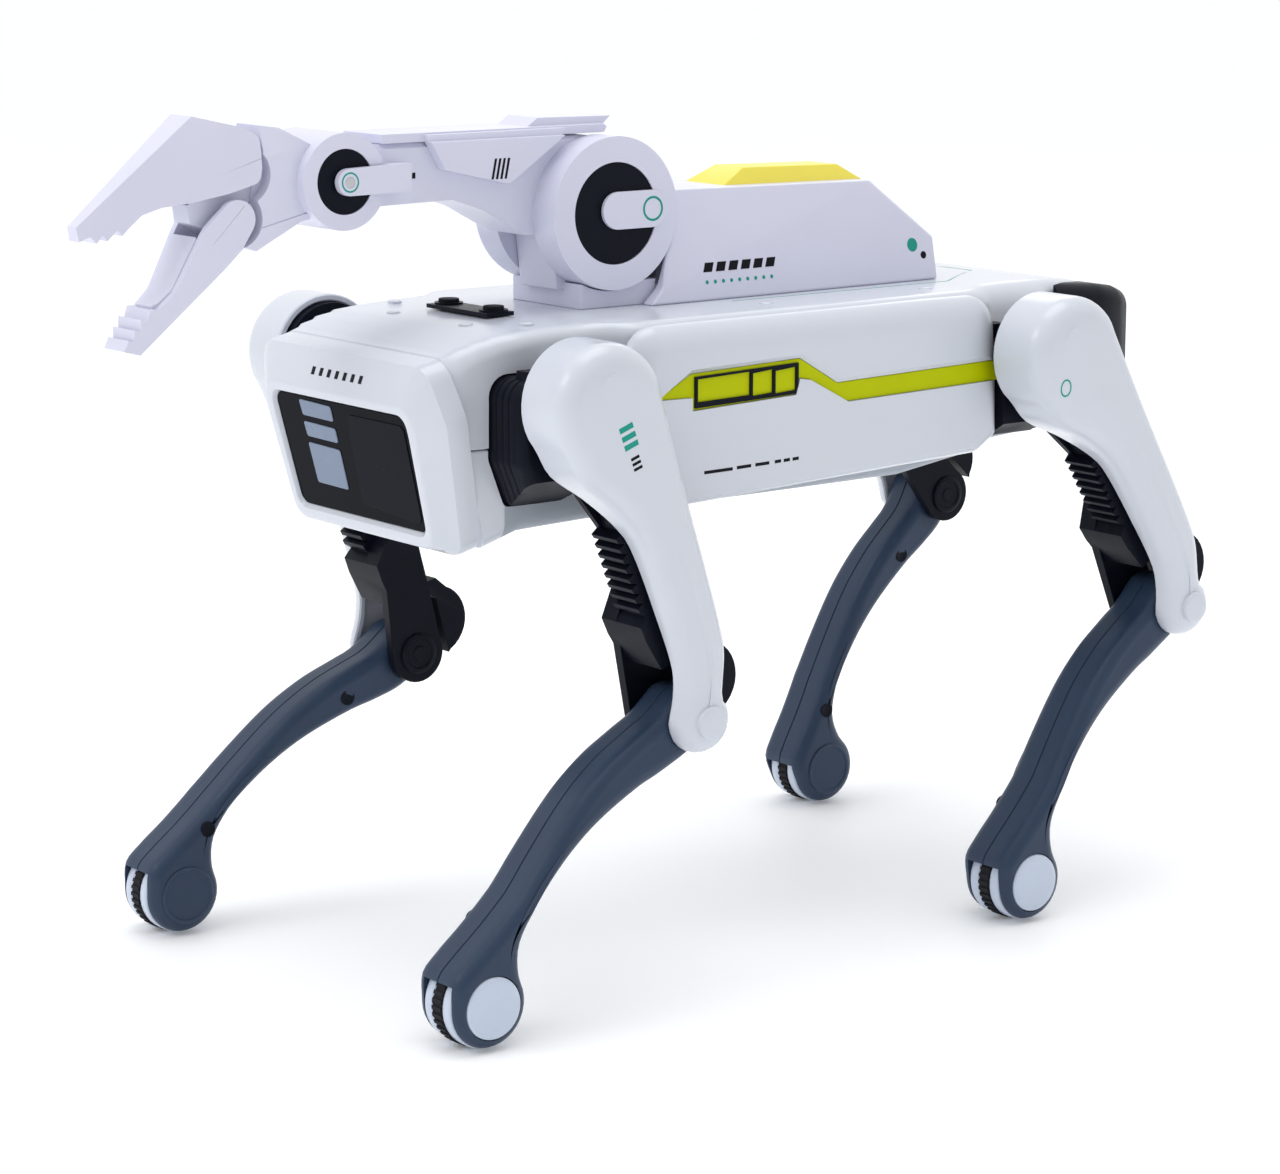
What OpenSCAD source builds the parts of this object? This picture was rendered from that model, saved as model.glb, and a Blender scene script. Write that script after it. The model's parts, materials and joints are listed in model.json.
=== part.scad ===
// Four-legged walking robot with a jaw arm on its back, on wheeled feet.
// +Z up, the face looks along -Y, the robot's left is +X, origin on the floor under its middle.

/* [Legs] */
// Distance between the outer faces of the left and right leg covers
overall_w = 160; // [158:1:162]
// Diameter of the foot wheels
wheel_d = 24; // [23.5:0.25:24.5]
// Distance from hip axis to knee axis
thigh_len = 93.5; // [92:0.5:95]
// Distance from knee axis to wheel axis
shin_len = 98; // [97:0.5:99]
// Height of the hip axes above the floor
hip_z = 165.5; // [165:0.25:166.5]
// Fore and aft distance between the hip axes
wheelbase = 167; // [166:0.5:168]
// Backward lean of the front left thigh as it stands
lean_front_left = 20; // [18:1:22]
// Backward lean of the front right thigh as it stands
lean_front_right = 15; // [13:1:17]
// Backward lean of the rear left thigh as it stands
lean_rear_left = 32; // [30:1:34]
// Backward lean of the rear right thigh as it stands
lean_rear_right = 46; // [44:1:47]

/* [Body] */
// Half width of the head and of the body at the hips
waist_x = 42; // [41:0.5:43]
// Half width over the side panels
panel_x = 56; // [55.5:0.25:56.5]
// Height of the flat back above the floor
deck_z = 183; // [182.5:0.25:183.5]
// Forward lean of the face
face_lean = 13.5; // [12:0.5:15]
// Wall of the moulded shells
wall = 2; // [1.8:0.1:2.2]

/* [Arm] */
// Radius of the shoulder drums
shoulder_r = 21.3; // [21:0.1:21.5]
// Radius of the wrist drum
wrist_r = 12.9; // [12.7:0.1:13]
// Height of the shoulder axis above the floor
shoulder_z = 209.3; // [209:0.1:209.6]
// Half width of the upper arm
arm_x = 9; // [8.8:0.1:9.1]

/* [Hidden] */

WHITE = "whitesmoke";
LILAC = "lavender";
BLACK = "#20242c";
SLATE = "#3a4a5e";
LIME = "#b5c80a";
YELLOW = "#f2e25a";

eps = 0.1;             // overshoot of a cut past a face
gap = 0.3;             // air between pieces that move past each other
run_fit = 0.05;        // radial clearance of a pin that turns
big = 400;             // longer than the robot
$fn = 64;

// ---- leg sizes, in the leg's own frame: axis at 0, Y backwards, Z up, X outwards
outer_x = overall_w / 2;
hip_front_y = 102 - wheelbase;
hip_rear_y = 102;
hip_r = 17.3;          // radius of the hip end of the thigh cover
knee_r = 9.3;          // radius of the knee end of the thigh cover
rim_x = 60;            // inner edge of the cover at the hip
rim_mid_x = 69;        // inner edge half way down the thigh
rim_knee_x = 71.5;     // inner edge at the knee
cover_x = outer_x - 1; // outer face of the cover below the hip
spindle_r = 4;         // hip spindle
knee_pin_r = 2.5;
fork_x0 = 51;          // inner fork plate of the thigh frame
fork_x1 = 54;
frame_x0 = 57.5;       // thigh frame, between the body and the cover
frame_x1 = rim_mid_x - gap;
wheel_r = wheel_d / 2;
foot_r = 11.4;         // radius of the foot housing
hub_r = 8.5;           // wheel hub that shows through the outer cheek
axle_r = 2.5;          // wheel axle stub in the inner cheek
well_r = 12.4;         // wheel well
well_x0 = 63.6;
well_x1 = 76.4;
shin_in_knee = 54.4;   // inner and outer faces of the shin at the knee and at the foot
shin_out_knee = 71.2;
shin_in_foot = 60;
shin_out_foot = outer_x - 0.6;

// ---- body stations
face_y = -84.7;        // middle of the seam behind the bezel
face_z = 145;
split_z = 152;         // seam between top cover and belly shell
tail_y = 163;
panel_y0 = -42;        // side panel ends
panel_y1 = 93;
shoulder_y = -20;
wrist_y = -104.5;
wrist_z = 222;
jaw_y = -135.5;        // lower jaw hinge
jaw_z = 213.5;
upper_jaw_y = -133;    // upper jaw hinge
upper_jaw_z = 225;
jaw_pin_r = 1.5;

// ---- helpers
function arc(c, r, a0, a1, n) =
    [for (i = [0 : n]) let (a = a0 + (a1 - a0) * i / n) [c[0] + r * cos(a), c[1] + r * sin(a)]];

// rounded polygon: each corner [x, y, r] becomes an arc tangent to its two sides
function corner_arc(p, q, s, r, n) =
    let (u = (p - q) / norm(p - q), v = (s - q) / norm(s - q), half = acos(u * v) / 2,
         t = r / tan(half), a = q + u * t, b = q + v * t, m = (u + v) / norm(u + v),
         c = q + m * (r / sin(half)), a0 = atan2(a[1] - c[1], a[0] - c[0]),
         a1 = atan2(b[1] - c[1], b[0] - c[0]), d = a1 - a0,
         turn = d > 180 ? d - 360 : (d < -180 ? d + 360 : d))
    [for (i = [0 : n]) c + r * [cos(a0 + turn * i / n), sin(a0 + turn * i / n)]];
function xy(p) = [p[0], p[1]];
function rounded(pts, n = 5) =
    [for (i = [0 : len(pts) - 1])
        let (k = len(pts), p = xy(pts[(i + k - 1) % k]), q = xy(pts[i]), s = xy(pts[(i + 1) % k]))
        each (pts[i][2] == 0 ? [q] : corner_arc(p, q, s, pts[i][2], n))];

// an outline in Y and Z, as thick as from x0 to x1
module along_x(x0, x1) {
    translate([x0, 0, 0]) rotate([90, 0, 90]) linear_extrude(x1 - x0) children();
}

// an outline in X and Z, as deep as from y0 to y1
module along_y(y0, y1) {
    translate([0, y1, 0]) rotate([90, 0, 0]) linear_extrude(y1 - y0) children();
}

module disc_x(x0, x1, r) {
    translate([x0, 0, 0]) rotate([0, 90, 0]) cylinder(h = x1 - x0, r = r);
}

module box(x0, x1, y0, y1, z0, z1) {
    translate([x0, y0, z0]) cube([x1 - x0, y1 - y0, z1 - z0]);
}

module both_sides() {
    children();
    mirror([1, 0, 0]) children();
}

// ---- the legs: [side, hip y, lean]
function leg(name) =
    name == "front_left" ? [1, hip_front_y, lean_front_left]
    : name == "front_right" ? [-1, hip_front_y, lean_front_right]
    : name == "rear_left" ? [1, hip_rear_y, lean_rear_left]
    : [-1, hip_rear_y, lean_rear_right];
function knee_y(l) = l[1] + thigh_len * sin(l[2]);
function knee_z(l) = hip_z - thigh_len * cos(l[2]);
// the shin leans forward until its wheel stands on the floor
function shin_lean(l) = acos((knee_z(l) - wheel_r) / shin_len);

module at_hip(name) {
    l = leg(name);
    mirror([l[0] < 0 ? 1 : 0, 0, 0]) translate([0, l[1], hip_z]) rotate([l[2], 0, 0]) children();
}

module at_knee(name) {
    l = leg(name);
    mirror([l[0] < 0 ? 1 : 0, 0, 0]) translate([0, knee_y(l), knee_z(l)]) rotate([-shin_lean(l), 0, 0])
        children();
}

// outline of the thigh cover, e inside its edge
function thigh_outline(e) = concat(
    arc([0, 0], hip_r - e, -5, 205, 26),
    [[-14.4 + e, -15.6], [-8.6 + 1.2 * e, -24 + 0.5 * e], [-3.6 + e, -34], [-2.4 + e, -42], [-2.2 + e, -60],
     [-2.4 + e, -75], [-4 + e, -82.5], [-7 + e, -87]],
    arc([0, -thigh_len], knee_r - e, 170, 375, 22),
    [[12.2 - e, -84], [13.8 - e, -78], [14.6 - e, -70], [15 - e, -54], [15.6 - e, -34]]);

// inner edge of the cover, seen from behind: X against Z
module below_rim(lift) {
    along_y(-30, 30) polygon([[0, 30], [rim_x - lift, 30], [rim_x - lift, -14], [rim_mid_x - lift, -38],
        [rim_knee_x - lift, -78], [rim_knee_x - lift, -120], [0, -120]]);
}

module thigh_cover(name) {
    bore_r = knee_pin_r + run_fit / 2;
    at_hip(name) color(WHITE) difference() {
        union() {
            difference() {
                union() {
                    rotate([0, 90, 0]) rotate_extrude() polygon(concat(
                        [[0, rim_x], [hip_r, rim_x]], arc([hip_r - 4, outer_x - 4], 4, 0, 90, 6),
                        [[0, outer_x]]));
                    along_x(rim_x, cover_x) polygon(thigh_outline(0));
                }
                along_x(rim_x - eps, cover_x - wall) polygon(thigh_outline(wall));
                below_rim(0);
            }
            disc_x(62.4, cover_x - wall + eps, spindle_r + wall);
            translate([0, 0, -thigh_len]) disc_x(rim_knee_x, cover_x - wall + eps, knee_pin_r + wall);
        }
        disc_x(rim_x, 70, spindle_r + run_fit);
        translate([0, 0, -thigh_len]) disc_x(rim_x, outer_x, bore_r);
    }
}

// saw teeth of the pleated front of the thigh frame
rib_n = 8;
rib_pitch = 3;
rib_z = -36;
function ribs(i) = i == rib_n ? [] : concat(
    [[-3.4, rib_z - i * rib_pitch], [-5.6, rib_z - i * rib_pitch - 0.8], [-5.2, rib_z - i * rib_pitch - 2.2]],
    ribs(i + 1));

module thigh_frame(name) {
    at_hip(name) color(BLACK) difference() {
        union() {
            disc_x(frame_x0, 62, hip_r - wall - gap);
            along_x(frame_x0, rim_x - gap) polygon([[-9, 0], [-7, -25], [-3.4, -36], [9, -36], [10, 0]]);
            // tapered middle, between the hip plate and the box
            intersection() {
                along_x(frame_x0, frame_x1) polygon(rounded([[-2.4, -16, 0], [-2.6, -37, 0], [10, -37, 0],
                    [10, -16, 2]]));
                below_rim(gap);
            }
            along_x(frame_x0, frame_x1) polygon(concat(ribs(0), [[-3.4, -61], [-6.4, -63], [-6, -68],
                [-4, -77], [11, -77], [12, -60], [11, -36]]));
            along_x(fork_x0, frame_x0) polygon([[-6.4, -63], [-6, -68], [-4, -77], [9, -77], [9, -58],
                [0, -56]]);
            along_x(fork_x0, fork_x1) polygon(concat([[9, -70], [-5, -70]],
                arc([0, -thigh_len], knee_r - 0.5, 175, 375, 20)));
            // rounded bump behind the knee
            along_x(fork_x0, frame_x1) polygon(concat([[8, -74],
                [12, -74]], arc([8.6, -86.5], 10.6, 55, -75, 12), [[10.4, -97.5], [10.4, -80], [8, -77]]));
        }
        disc_x(rim_x - 5, 70, spindle_r + run_fit);
        translate([0, 0, -thigh_len]) disc_x(fork_x0 - eps, outer_x, knee_pin_r + run_fit / 2);
    }
}

module knee_pin(name) {
    cap_r = 4.6;
    inner_cap_r = 6;
    at_hip(name) color(WHITE) translate([0, 0, -thigh_len]) {
        disc_x(fork_x0 - 1, fork_x0, inner_cap_r);
        disc_x(fork_x0 - 1, outer_x - 0.2, knee_pin_r);
        disc_x(cover_x, outer_x - 0.2, cap_r);
    }
}

// side outline of the shin, e inside its edge; forward is -Y
function shin_outline(e) = concat(
    arc([0, 0], 8 - e, 10, 170, 14),
    [[-8 + e, -8], [-10.4 + e, -16], [-13.2 + e, -26], [-14.8 + e, -37], [-15 + e, -47], [-14.3 + e, -60],
     [-13.4 + e, -72], [-13.3 + e, -84], [-13.8 + e, -94], [-13.6 + e, -100], [-12 + e, -104.4]],
    arc([0, -shin_len], foot_r - e, 218, 386, 20),
    [[3.6 - e, -87.6], [-1.2 - e, -84], [-5.2 - e, -79.5], [-7 - e, -73], [-7.8 - e, -64], [-7.4 - e, -52],
     [-5.2 - e, -40], [-0.6 - e, -26], [3 - e, -18], [6.4 - e, -9]]);

// front outline of one half: X from the share a to the share b of the width, e inside the faces
function shin_x(z, s) =
    let (d = min(1, max(0, (-z - 12) / 60)), x0 = shin_in_knee + (shin_in_foot - shin_in_knee) * d,
         x1 = shin_out_knee + (shin_out_foot - shin_out_knee) * d)
    x0 + (x1 - x0) * s;
module shin_band(a, b, e0, e1) {
    zs = [12, -12, -42, -72, -120];
    along_y(-30, 30) polygon(concat([for (z = zs) [shin_x(z, a) + e0, z]],
        [for (i = [len(zs) - 1 : -1 : 0]) [shin_x(zs[i], b) - e1, zs[i]]]));
}

module shin_half(a, b, e0, e1) {
    difference() {
        intersection() {
            along_x(fork_x0, outer_x + 1) polygon(shin_outline(0));
            shin_band(a, b, 0, 0);
        }
        intersection() {
            along_x(fork_x0, outer_x + 1) polygon(shin_outline(wall));
            shin_band(a, b, e0, e1);
            box(0, big, -30, 30, -82, -12);
        }
        disc_x(fork_x0, outer_x + 1, knee_pin_r + run_fit);
        translate([0, 0, -shin_len]) disc_x(well_x0, well_x1, well_r);
    }
}

module shin_outer(name) {
    at_knee(name) color(SLATE) difference() {
        shin_half(0.5, 1, -1, wall);
        translate([0, 0, -shin_len]) disc_x(well_x0, outer_x + 1, hub_r + run_fit);
    }
}

screw_spots = [[-5.5, -24], [-4.5, -85]];
module shin_inner(name) {
    at_knee(name) color(SLATE) difference() {
        shin_half(0, 0.5, wall, -1);
        translate([0, 0, -shin_len]) disc_x(shin_in_foot + 1, outer_x, axle_r + run_fit);
        for (s = screw_spots)
            translate([0, s[0], s[1]]) disc_x(fork_x0, shin_x(s[1], 0) + 1.6, 1.9);
    }
}

module wheel(name) {
    rim_w = 3.9;
    tyre_seat_r = 9;
    at_knee(name) color(WHITE) translate([0, 0, -shin_len]) {
        disc_x(shin_in_foot + 1 + gap / 2, 64, axle_r);
        disc_x(64, 64 + rim_w, wheel_r - 0.3);
        disc_x(64 + rim_w, 76 - rim_w, tyre_seat_r);
        disc_x(76 - rim_w, 76, wheel_r - 0.3);
        disc_x(76, outer_x, hub_r);
    }
}

module tyre(name) {
    tooth_n = 36;
    at_knee(name) color(BLACK) translate([0, 0, -shin_len]) difference() {
        union() {
            disc_x(68, 72, wheel_r - 0.45);
            // tread teeth; one always meets the floor
            for (i = [0 : tooth_n - 1])
                rotate([i * 360 / tooth_n + shin_lean(leg(name)), 0, 0])
                    box(68, 72, -0.5, 0.5, -wheel_r, -wheel_r + 1.2);
        }
        disc_x(67, 73, 9);
    }
}

// ---- body
deck = [[-96, 174], [-80, 179.5], [-66, 182], [-52, deck_z], [118, deck_z], [146, 180.5], [tail_y, 176.5]];
keel = [[tail_y, 146], [150, 138.5], [93, 136], [60, 131.5], [-24, 131.5], [-34, 128.5], [-70, 128],
    [-80, 123.4]];

// outlines of the whole body in Y and Z, above and below the seam; e inside
function upper_outline(e) = concat([for (p = deck) [min(p[0], tail_y - e), p[1] - e]],
    [[tail_y - e, split_z], [-88, split_z]]);
function lower_outline(e) = concat([[-88, split_z], [tail_y - e, split_z]],
    [for (p = keel) [min(p[0], tail_y - e), p[1] + e]]);

// cuts off what stands in front of the seam behind the bezel
module ahead_of_face(back) {
    translate([0, face_y + back, face_z]) rotate([face_lean, 0, 0]) box(-big, big, -60, 0, -60, 60);
}

// opening in each body side for the hip gearboxes
gear_w = 14;           // half length of a gearbox along Y
gear_z0 = 136;
gear_z1 = 171;
gear_x = 56;           // outer face of a gearbox
module gear_openings(e) {
    both_sides() for (y = [hip_front_y, hip_rear_y])
        box(30 - e, gear_x + 1, y - gear_w - e, y + gear_w + e, gear_z0 - e, gear_z1 + e);
}

module body_half(e, upper) {
    x = waist_x - e;
    wide = panel_x - 6 - e;
    union() {
        along_x(-x, x) polygon(upper ? upper_outline(e) : lower_outline(e));
        intersection() {
            along_x(-wide, wide) polygon(upper ? upper_outline(e) : lower_outline(e));
            box(-big, big, panel_y0 + e, panel_y1 - e, 0, big);
        }
    }
}

module top_cover() {
    color(WHITE) difference() {
        body_half(0, true);
        difference() {
            body_half(wall, true);
            // posts for the case screws
            for (p = screw_posts)
                translate([p[0], p[1], split_z]) cylinder(h = 40, r = 3.4);
        }
        box(-waist_x + wall, waist_x - wall, -100, tail_y - wall, split_z - 1, split_z + eps);
        ahead_of_face(0);
        gear_openings(gap);
        tail_cut();
        for (s = [-1, 1])
            translate([s * button_x, button_y, 170]) cylinder(h = 30, r = button_r + 0.4);
        for (p = screw_posts)
            translate([p[0], p[1], split_z - 1]) cylinder(h = 12, r = 1.3);
    }
}
screw_posts = [[-30, -45], [30, -45], [-30, 122], [30, 122]];
screw_seat_z = 142.2;

// rear corners, where the bumper takes over from the white shells
tail_edge = [[waist_x + 2, 130], [waist_x - 8, 134], [26, tail_y - 6], [24, tail_y]];
module tail_cut() {
    both_sides() along_z(120, 190) polygon(concat(tail_edge, [[24, tail_y + 1], [waist_x + 2, tail_y + 1]]));
}
module along_z(z0, z1) {
    translate([0, 0, z0]) linear_extrude(z1 - z0) children();
}

door_x = 24;
door_y0 = -12;
door_y1 = 56;
belly_z = 131.5;
switch_y = 70;
module belly_shell() {
    color("#c8ccd2") difference() {
        body_half(0, false);
        difference() {
            body_half(wall, false);
            for (p = screw_posts)
                translate([p[0], p[1], 120]) cylinder(h = 40, r = 3.4);
        }
        ahead_of_face(0);
        gear_openings(gap);
        tail_cut();
        // battery door, switch slot and screw holes
        box(-door_x - 0.2, door_x + 0.2, door_y0 - 0.2, door_y1 + 0.2, 120, belly_z + wall + 1);
        box(-3, 3, switch_y - 5, switch_y + 5, 120, 140);
        for (p = screw_posts) {
            translate([p[0], p[1], 110]) cylinder(h = 50, r = 1.7);
            translate([p[0], p[1], 110]) cylinder(h = screw_seat_z - 110, r = 2.9);
        }
    }
}

module case_screws() {
    color("silver") {
        for (p = screw_posts) {
            translate([p[0], p[1], screw_seat_z - 2]) cylinder(h = 2, r = 2.6);
            translate([p[0], p[1], screw_seat_z]) cylinder(h = 17, r = 1.25);
        }
        translate([0, door_y1 - 5, belly_z - 0.6]) cylinder(h = 1.4, r = 2.4);
        translate([0, door_y1 - 5, belly_z + 0.8]) cylinder(h = 6, r = 1.2);
    }
}

module battery_door() {
    color("#c8ccd2") difference() {
        box(-door_x, door_x, door_y0, door_y1, belly_z - 0.6, belly_z + wall);
        translate([0, door_y1 - 5, belly_z - 1]) cylinder(h = 1.8, r = 2.5);
        translate([0, door_y1 - 5, belly_z]) cylinder(h = 4, r = 1.25);
    }
}

module battery_pack() {
    color("royalblue") box(-18, 18, -8, 44, belly_z + wall + 0.5, belly_z + wall + 17);
}

module circuit_board() {
    color("seagreen") {
        box(-26, 26, -38, 40, 160, 161.6);
        box(-10, 4, -20, -4, 161.6, 164);
        box(8, 18, 10, 30, 161.6, 166);
    }
}

module power_switch() {
    color(BLACK) {
        box(-2.6, 2.6, switch_y - 3.4, switch_y + 0.4, 130.6, 137.2);
        box(-4.5, 4.5, switch_y - 4.6, switch_y + 1.6, 137.4, 139);
        box(-2, 2, switch_y - 3, switch_y, 137.2, 137.4);
    }
}

// face, in its own frame: origin on the seam, front is -Y
bezel_rings = [
    [0, [[40.5, 32.6, 5], [45, 17, 8], [38.6, -21.6, 5]]],
    [-7.5, [[40, 31, 5], [44.6, 16, 8], [38.2, -20.6, 5]]],
    [-12, [[35.6, 22.4, 4], [35.4, 16, 0], [33.2, -16.8, 4]]]
];
screen_corners = [[32.6, 19.2, 3], [31, -13.6, 3]];
function mirrored(pts) = concat(pts, [for (i = [len(pts) - 1 : -1 : 0]) [-pts[i][0], pts[i][1], pts[i][2]]]);
module at_face() {
    translate([0, face_y, face_z]) rotate([face_lean, 0, 0]) children();
}
module face_plate(pts, y0, y1, e = 0) {
    inner = [for (p = pts) [p[0] - e, p[1] - sign(p[1]) * e, max(0, p[2] - e * 0.5)]];
    along_y(y0, y1) polygon(rounded(mirrored(inner)));
}

module face_bezel() {
    color(WHITE) at_face() difference() {
        union() {
            face_plate(bezel_rings[0][1], -7.5, 0);
            hull() {
                face_plate(bezel_rings[1][1], -8, -7.5);
                face_plate(bezel_rings[2][1], -12, -11.9);
            }
        }
        face_plate(bezel_rings[1][1], -7.4, 1, wall);
        face_plate(screen_corners, -20, 1);
    }
}

module face_screen() {
    color("#14161c") at_face() face_plate(screen_corners, -11.4, -9.4, 0.05);
}

// side panel outline, e inside; the accent channel is cut out of it
function panel_outline(e) = rounded([
    [panel_y0 + e, 176 - e, 6], [panel_y0 + e, 131 + e, 3], [85 - e, 136.4 + e, 4],
        [panel_y1 - 1 - e, 140.6 + e, 2],
    [panel_y1 - e, 160, 0], [panel_y1 - 1 - e, 180 - e, 8], [60, deck_z - 1 - e, 0],
        [-30, deck_z - 1 - e, 6]]);
accent = [[-34, 162.4], [-22, 168.6], [16.5, 169.8], [30.2, 161.8], [96, 163.4], [96, 157.6], [33.8, 156.3],
    [20, 163.6], [16.4, 164.3], [16.1, 159.9], [-22, 158.6], [-22, 162.2]];

module side_panel() {
    x0 = panel_x - 6 + gap / 10;
    color(WHITE) difference() {
        along_x(x0, panel_x) polygon(panel_outline(0));
        along_x(panel_x - 2, panel_x + 1) polygon(accent);
        along_x(x0 - 1, panel_x - 4) polygon(panel_outline(wall + 1));
    }
}
module left_side_panel() {
    side_panel();
}
module right_side_panel() {
    mirror([1, 0, 0]) side_panel();
}

window_y = [-21, 15.6];
window_z = [160.2, 168.4];
module accent_strips() {
    color(LIME) both_sides() intersection() {
        along_x(panel_x - 2, panel_x - 0.8) polygon(accent);
        along_x(0, panel_x) polygon(panel_outline(0.05));
    }
}

module window_frames() {
    bar = 1;
    color(BLACK) both_sides() difference() {
        along_x(panel_x - 0.8, panel_x - 0.2) polygon([[window_y[0], window_z[0] - 1],
            [window_y[1], window_z[0]], [window_y[1], window_z[1] + 0.4], [window_y[0], window_z[1] - 0.6]]);
        for (w = [[0, 0.54], [0.54, 0.76], [0.76, 1]]) {
            y0 = window_y[0] + (window_y[1] - window_y[0]) * w[0] + bar * (w[0] == 0 ? 1 : 0.5);
            y1 = window_y[0] + (window_y[1] - window_y[0]) * w[1] - bar * (w[1] == 1 ? 1 : 0.5);
            along_x(panel_x - 1, panel_x) polygon([[y0, window_z[0] + bar - 0.4], [y1, window_z[0] + bar],
                [y1, window_z[1] - bar + 0.3], [y0, window_z[1] - bar - 0.3]]);
        }
    }
}

module hip_gearboxes() {
    spindle_x = 69.5;
    collar_r = 8.5;
    color(BLACK) both_sides() difference() {
        for (y = [hip_front_y, hip_rear_y]) translate([0, y, 0]) {
            along_x(30, gear_x) polygon(rounded([[-gear_w, gear_z0, 2], [gear_w, gear_z0, 2],
                [gear_w, gear_z1, 5], [-gear_w, gear_z1, 5]]));
            translate([0, 0, hip_z]) disc_x(gear_x, spindle_x, spindle_r);
            translate([0, 0, hip_z]) disc_x(gear_x, gear_x + 1, collar_r);
        }
        // room for the side panel
        box(panel_x - 6 - gap, gear_x + 2, panel_y0, panel_y1 + gap, 120, 190);
    }
}

module rear_bumper() {
    left_edge = [for (p = tail_edge) [p[0] + gap / 10, p[1] + gap / 10]];
    right_edge = [for (i = [len(left_edge) - 1 : -1 : 0]) [-left_edge[i][0], left_edge[i][1]]];
    color(BLACK) difference() {
        along_x(-waist_x, waist_x) polygon(rounded([[128, 150, 0], [128, 181.3, 0], [146, 179.4, 3],
            [165, 175, 4], [166, 160, 3], [160, 142, 4], [128, 137.5, 0]]));
        // keeps only the rear corners and the rear face
        along_z(100, 200) polygon(concat([[-big, 100], [big, 100], [big, 130]], left_edge, right_edge,
            [[-big, 130]]));
        along_x(-waist_x + wall, waist_x - wall) polygon([[120, 141], [120, 176], [145, 175.5],
            [163, 171], [163.5, 160], [157.5, 145]]);
    }
}

button_x = 10.8;
button_y = -56;
button_r = 2.9;
module button_plate() {
    color(BLACK) difference() {
        union() {
            box(-14.6, 14.6, button_y - 5, button_y + 4.2, deck_z, deck_z + 1.1);
            both_sides() translate([button_x, button_y, deck_z + 1.1]) cylinder(h = 0.5, r = button_r + 1.1);
        }
        both_sides() translate([button_x, button_y, deck_z - 1]) cylinder(h = 5, r = button_r + 0.15);
    }
}
module button(side) {
    color(BLACK) translate([side * button_x, button_y, 0]) {
        translate([0, 0, deck_z - 0.1]) cylinder(h = 2.7, r = button_r);
        translate([0, 0, 175]) cylinder(h = deck_z - 175.1 + eps, r = 2.4);
        translate([0, 0, 174]) cylinder(h = 1, r = 4.4);
    }
}
module left_button() {
    button(1);
}
module right_button() {
    button(-1);
}

// ---- backpack
pack_y1 = 99.5;
function pack_side(e) = [[-10 + e, deck_z + e], [pack_y1 - e, deck_z + e], [pack_y1 - e, 196 - e],
    [77 - e, 213 - e], [40, 214.5 - e], [3, 216.4 - e], [-1 + e, 205]];
module pack_solid(e) {
    intersection() {
        along_x(-30, 30) polygon(pack_side(e));
        along_y(-20, 110) polygon([[22 - e, deck_z + e - (e > 0 ? 4 : 0)], [20.6 - e, 196], [14 - e, 218 - e],
            [-14 + e, 218 - e], [-20.6 + e, 196], [-22 + e, deck_z + e - (e > 0 ? 4 : 0)]]);
    }
}
module backpack_shell() {
    color(LILAC) difference() {
        pack_solid(0);
        translate([0, 0, -2 * wall]) pack_solid(wall);
        box(-19, 19, 6, pack_y1 - wall, deck_z - 1, deck_z + wall + 1);
        at_shoulder() disc_x(-20.7, 20.7, shoulder_r + 2 * gap);
        box(-17, 17, -40, -2, 170, 200);
    }
}
module backpack_strip() {
    color(YELLOW) intersection() {
        along_x(-9, 9) polygon([[26, 215.22], [37, 219.4], [69, 218.2], [77, 213], [40, 214.5]]);
        along_y(0, 100) polygon([[9, 205], [9, 216.6], [6.4, 222], [-6.4, 222], [-9, 216.6], [-9, 205]]);
    }
}

// ---- arm
module at_shoulder() {
    translate([0, shoulder_y, shoulder_z]) children();
}
module at_wrist() {
    translate([0, wrist_y, wrist_z]) children();
}
post_r = 15.4;
post_x = arm_x - gap;
shoulder_pin_r = 3;
module arm_pedestal() {
    color(LILAC) difference() {
        union() {
            along_z(deck_z, 190) polygon(rounded([[16.4, -30.5, 1], [16.4, -2, 0], [-16.4, -2, 0],
                [-16.4, -30.5, 1]]));
            along_x(-post_x, post_x) polygon(concat([[shoulder_y + post_r, 188]],
                arc([shoulder_y, shoulder_z], post_r, 0, 180, 24), [[-33, 188]]));
        }
        at_shoulder() both_sides() disc_x(arm_x - gap, 30, shoulder_r + gap);
        at_shoulder() disc_x(-30, 30, shoulder_pin_r + run_fit);
    }
}

cheek_x = 19;
disc_r = 14.1;
module upper_arm_shell() {
    web_r = post_r + 1.4;
    color(LILAC) difference() {
        union() {
            at_shoulder() both_sides() disc_x(arm_x, cheek_x, shoulder_r);
            // box of the arm
            intersection() {
                along_x(-arm_x, arm_x) polygon([[-91.5, 214.6], [-68, 215], [-58, 211.6], [-44, 204],
                    [-36, 204], [-22, 212], [-22, 230.4], [-91.5, 231]]);
                along_y(-95, -15) polygon([[arm_x - 2, 200], [arm_x, 202], [arm_x, 229.6],
                    [arm_x - 1.4, 231.1],
                    [-arm_x + 1.4, 231.1], [-arm_x, 229.6], [-arm_x, 202], [-arm_x + 2, 200]]);
            }
            // prongs that hold the wrist pin
            both_sides() {
                along_x(12.9, 14.9) polygon(concat(arc([wrist_y, wrist_z], 3.6, 90, 270, 12),
                    [[-86, 218.6], [-86, 226.2]]));
                box(arm_x - 1, 14.9, -90.6, -85, 218.8, 226);
            }
        }
        at_shoulder() disc_x(-arm_x, arm_x, web_r);
        box(-arm_x, arm_x, shoulder_y, 20, 180, shoulder_z + 18.5);
        at_wrist() disc_x(-12.8, 12.8, wrist_r + gap);
        at_shoulder() disc_x(-30, 30, shoulder_pin_r + run_fit / 2);
        at_wrist() disc_x(-30, 30, 1.5 + run_fit / 2);
        at_shoulder() both_sides() disc_x(cheek_x - 1.2, 30, disc_r + 0.1);
    }
}

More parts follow.
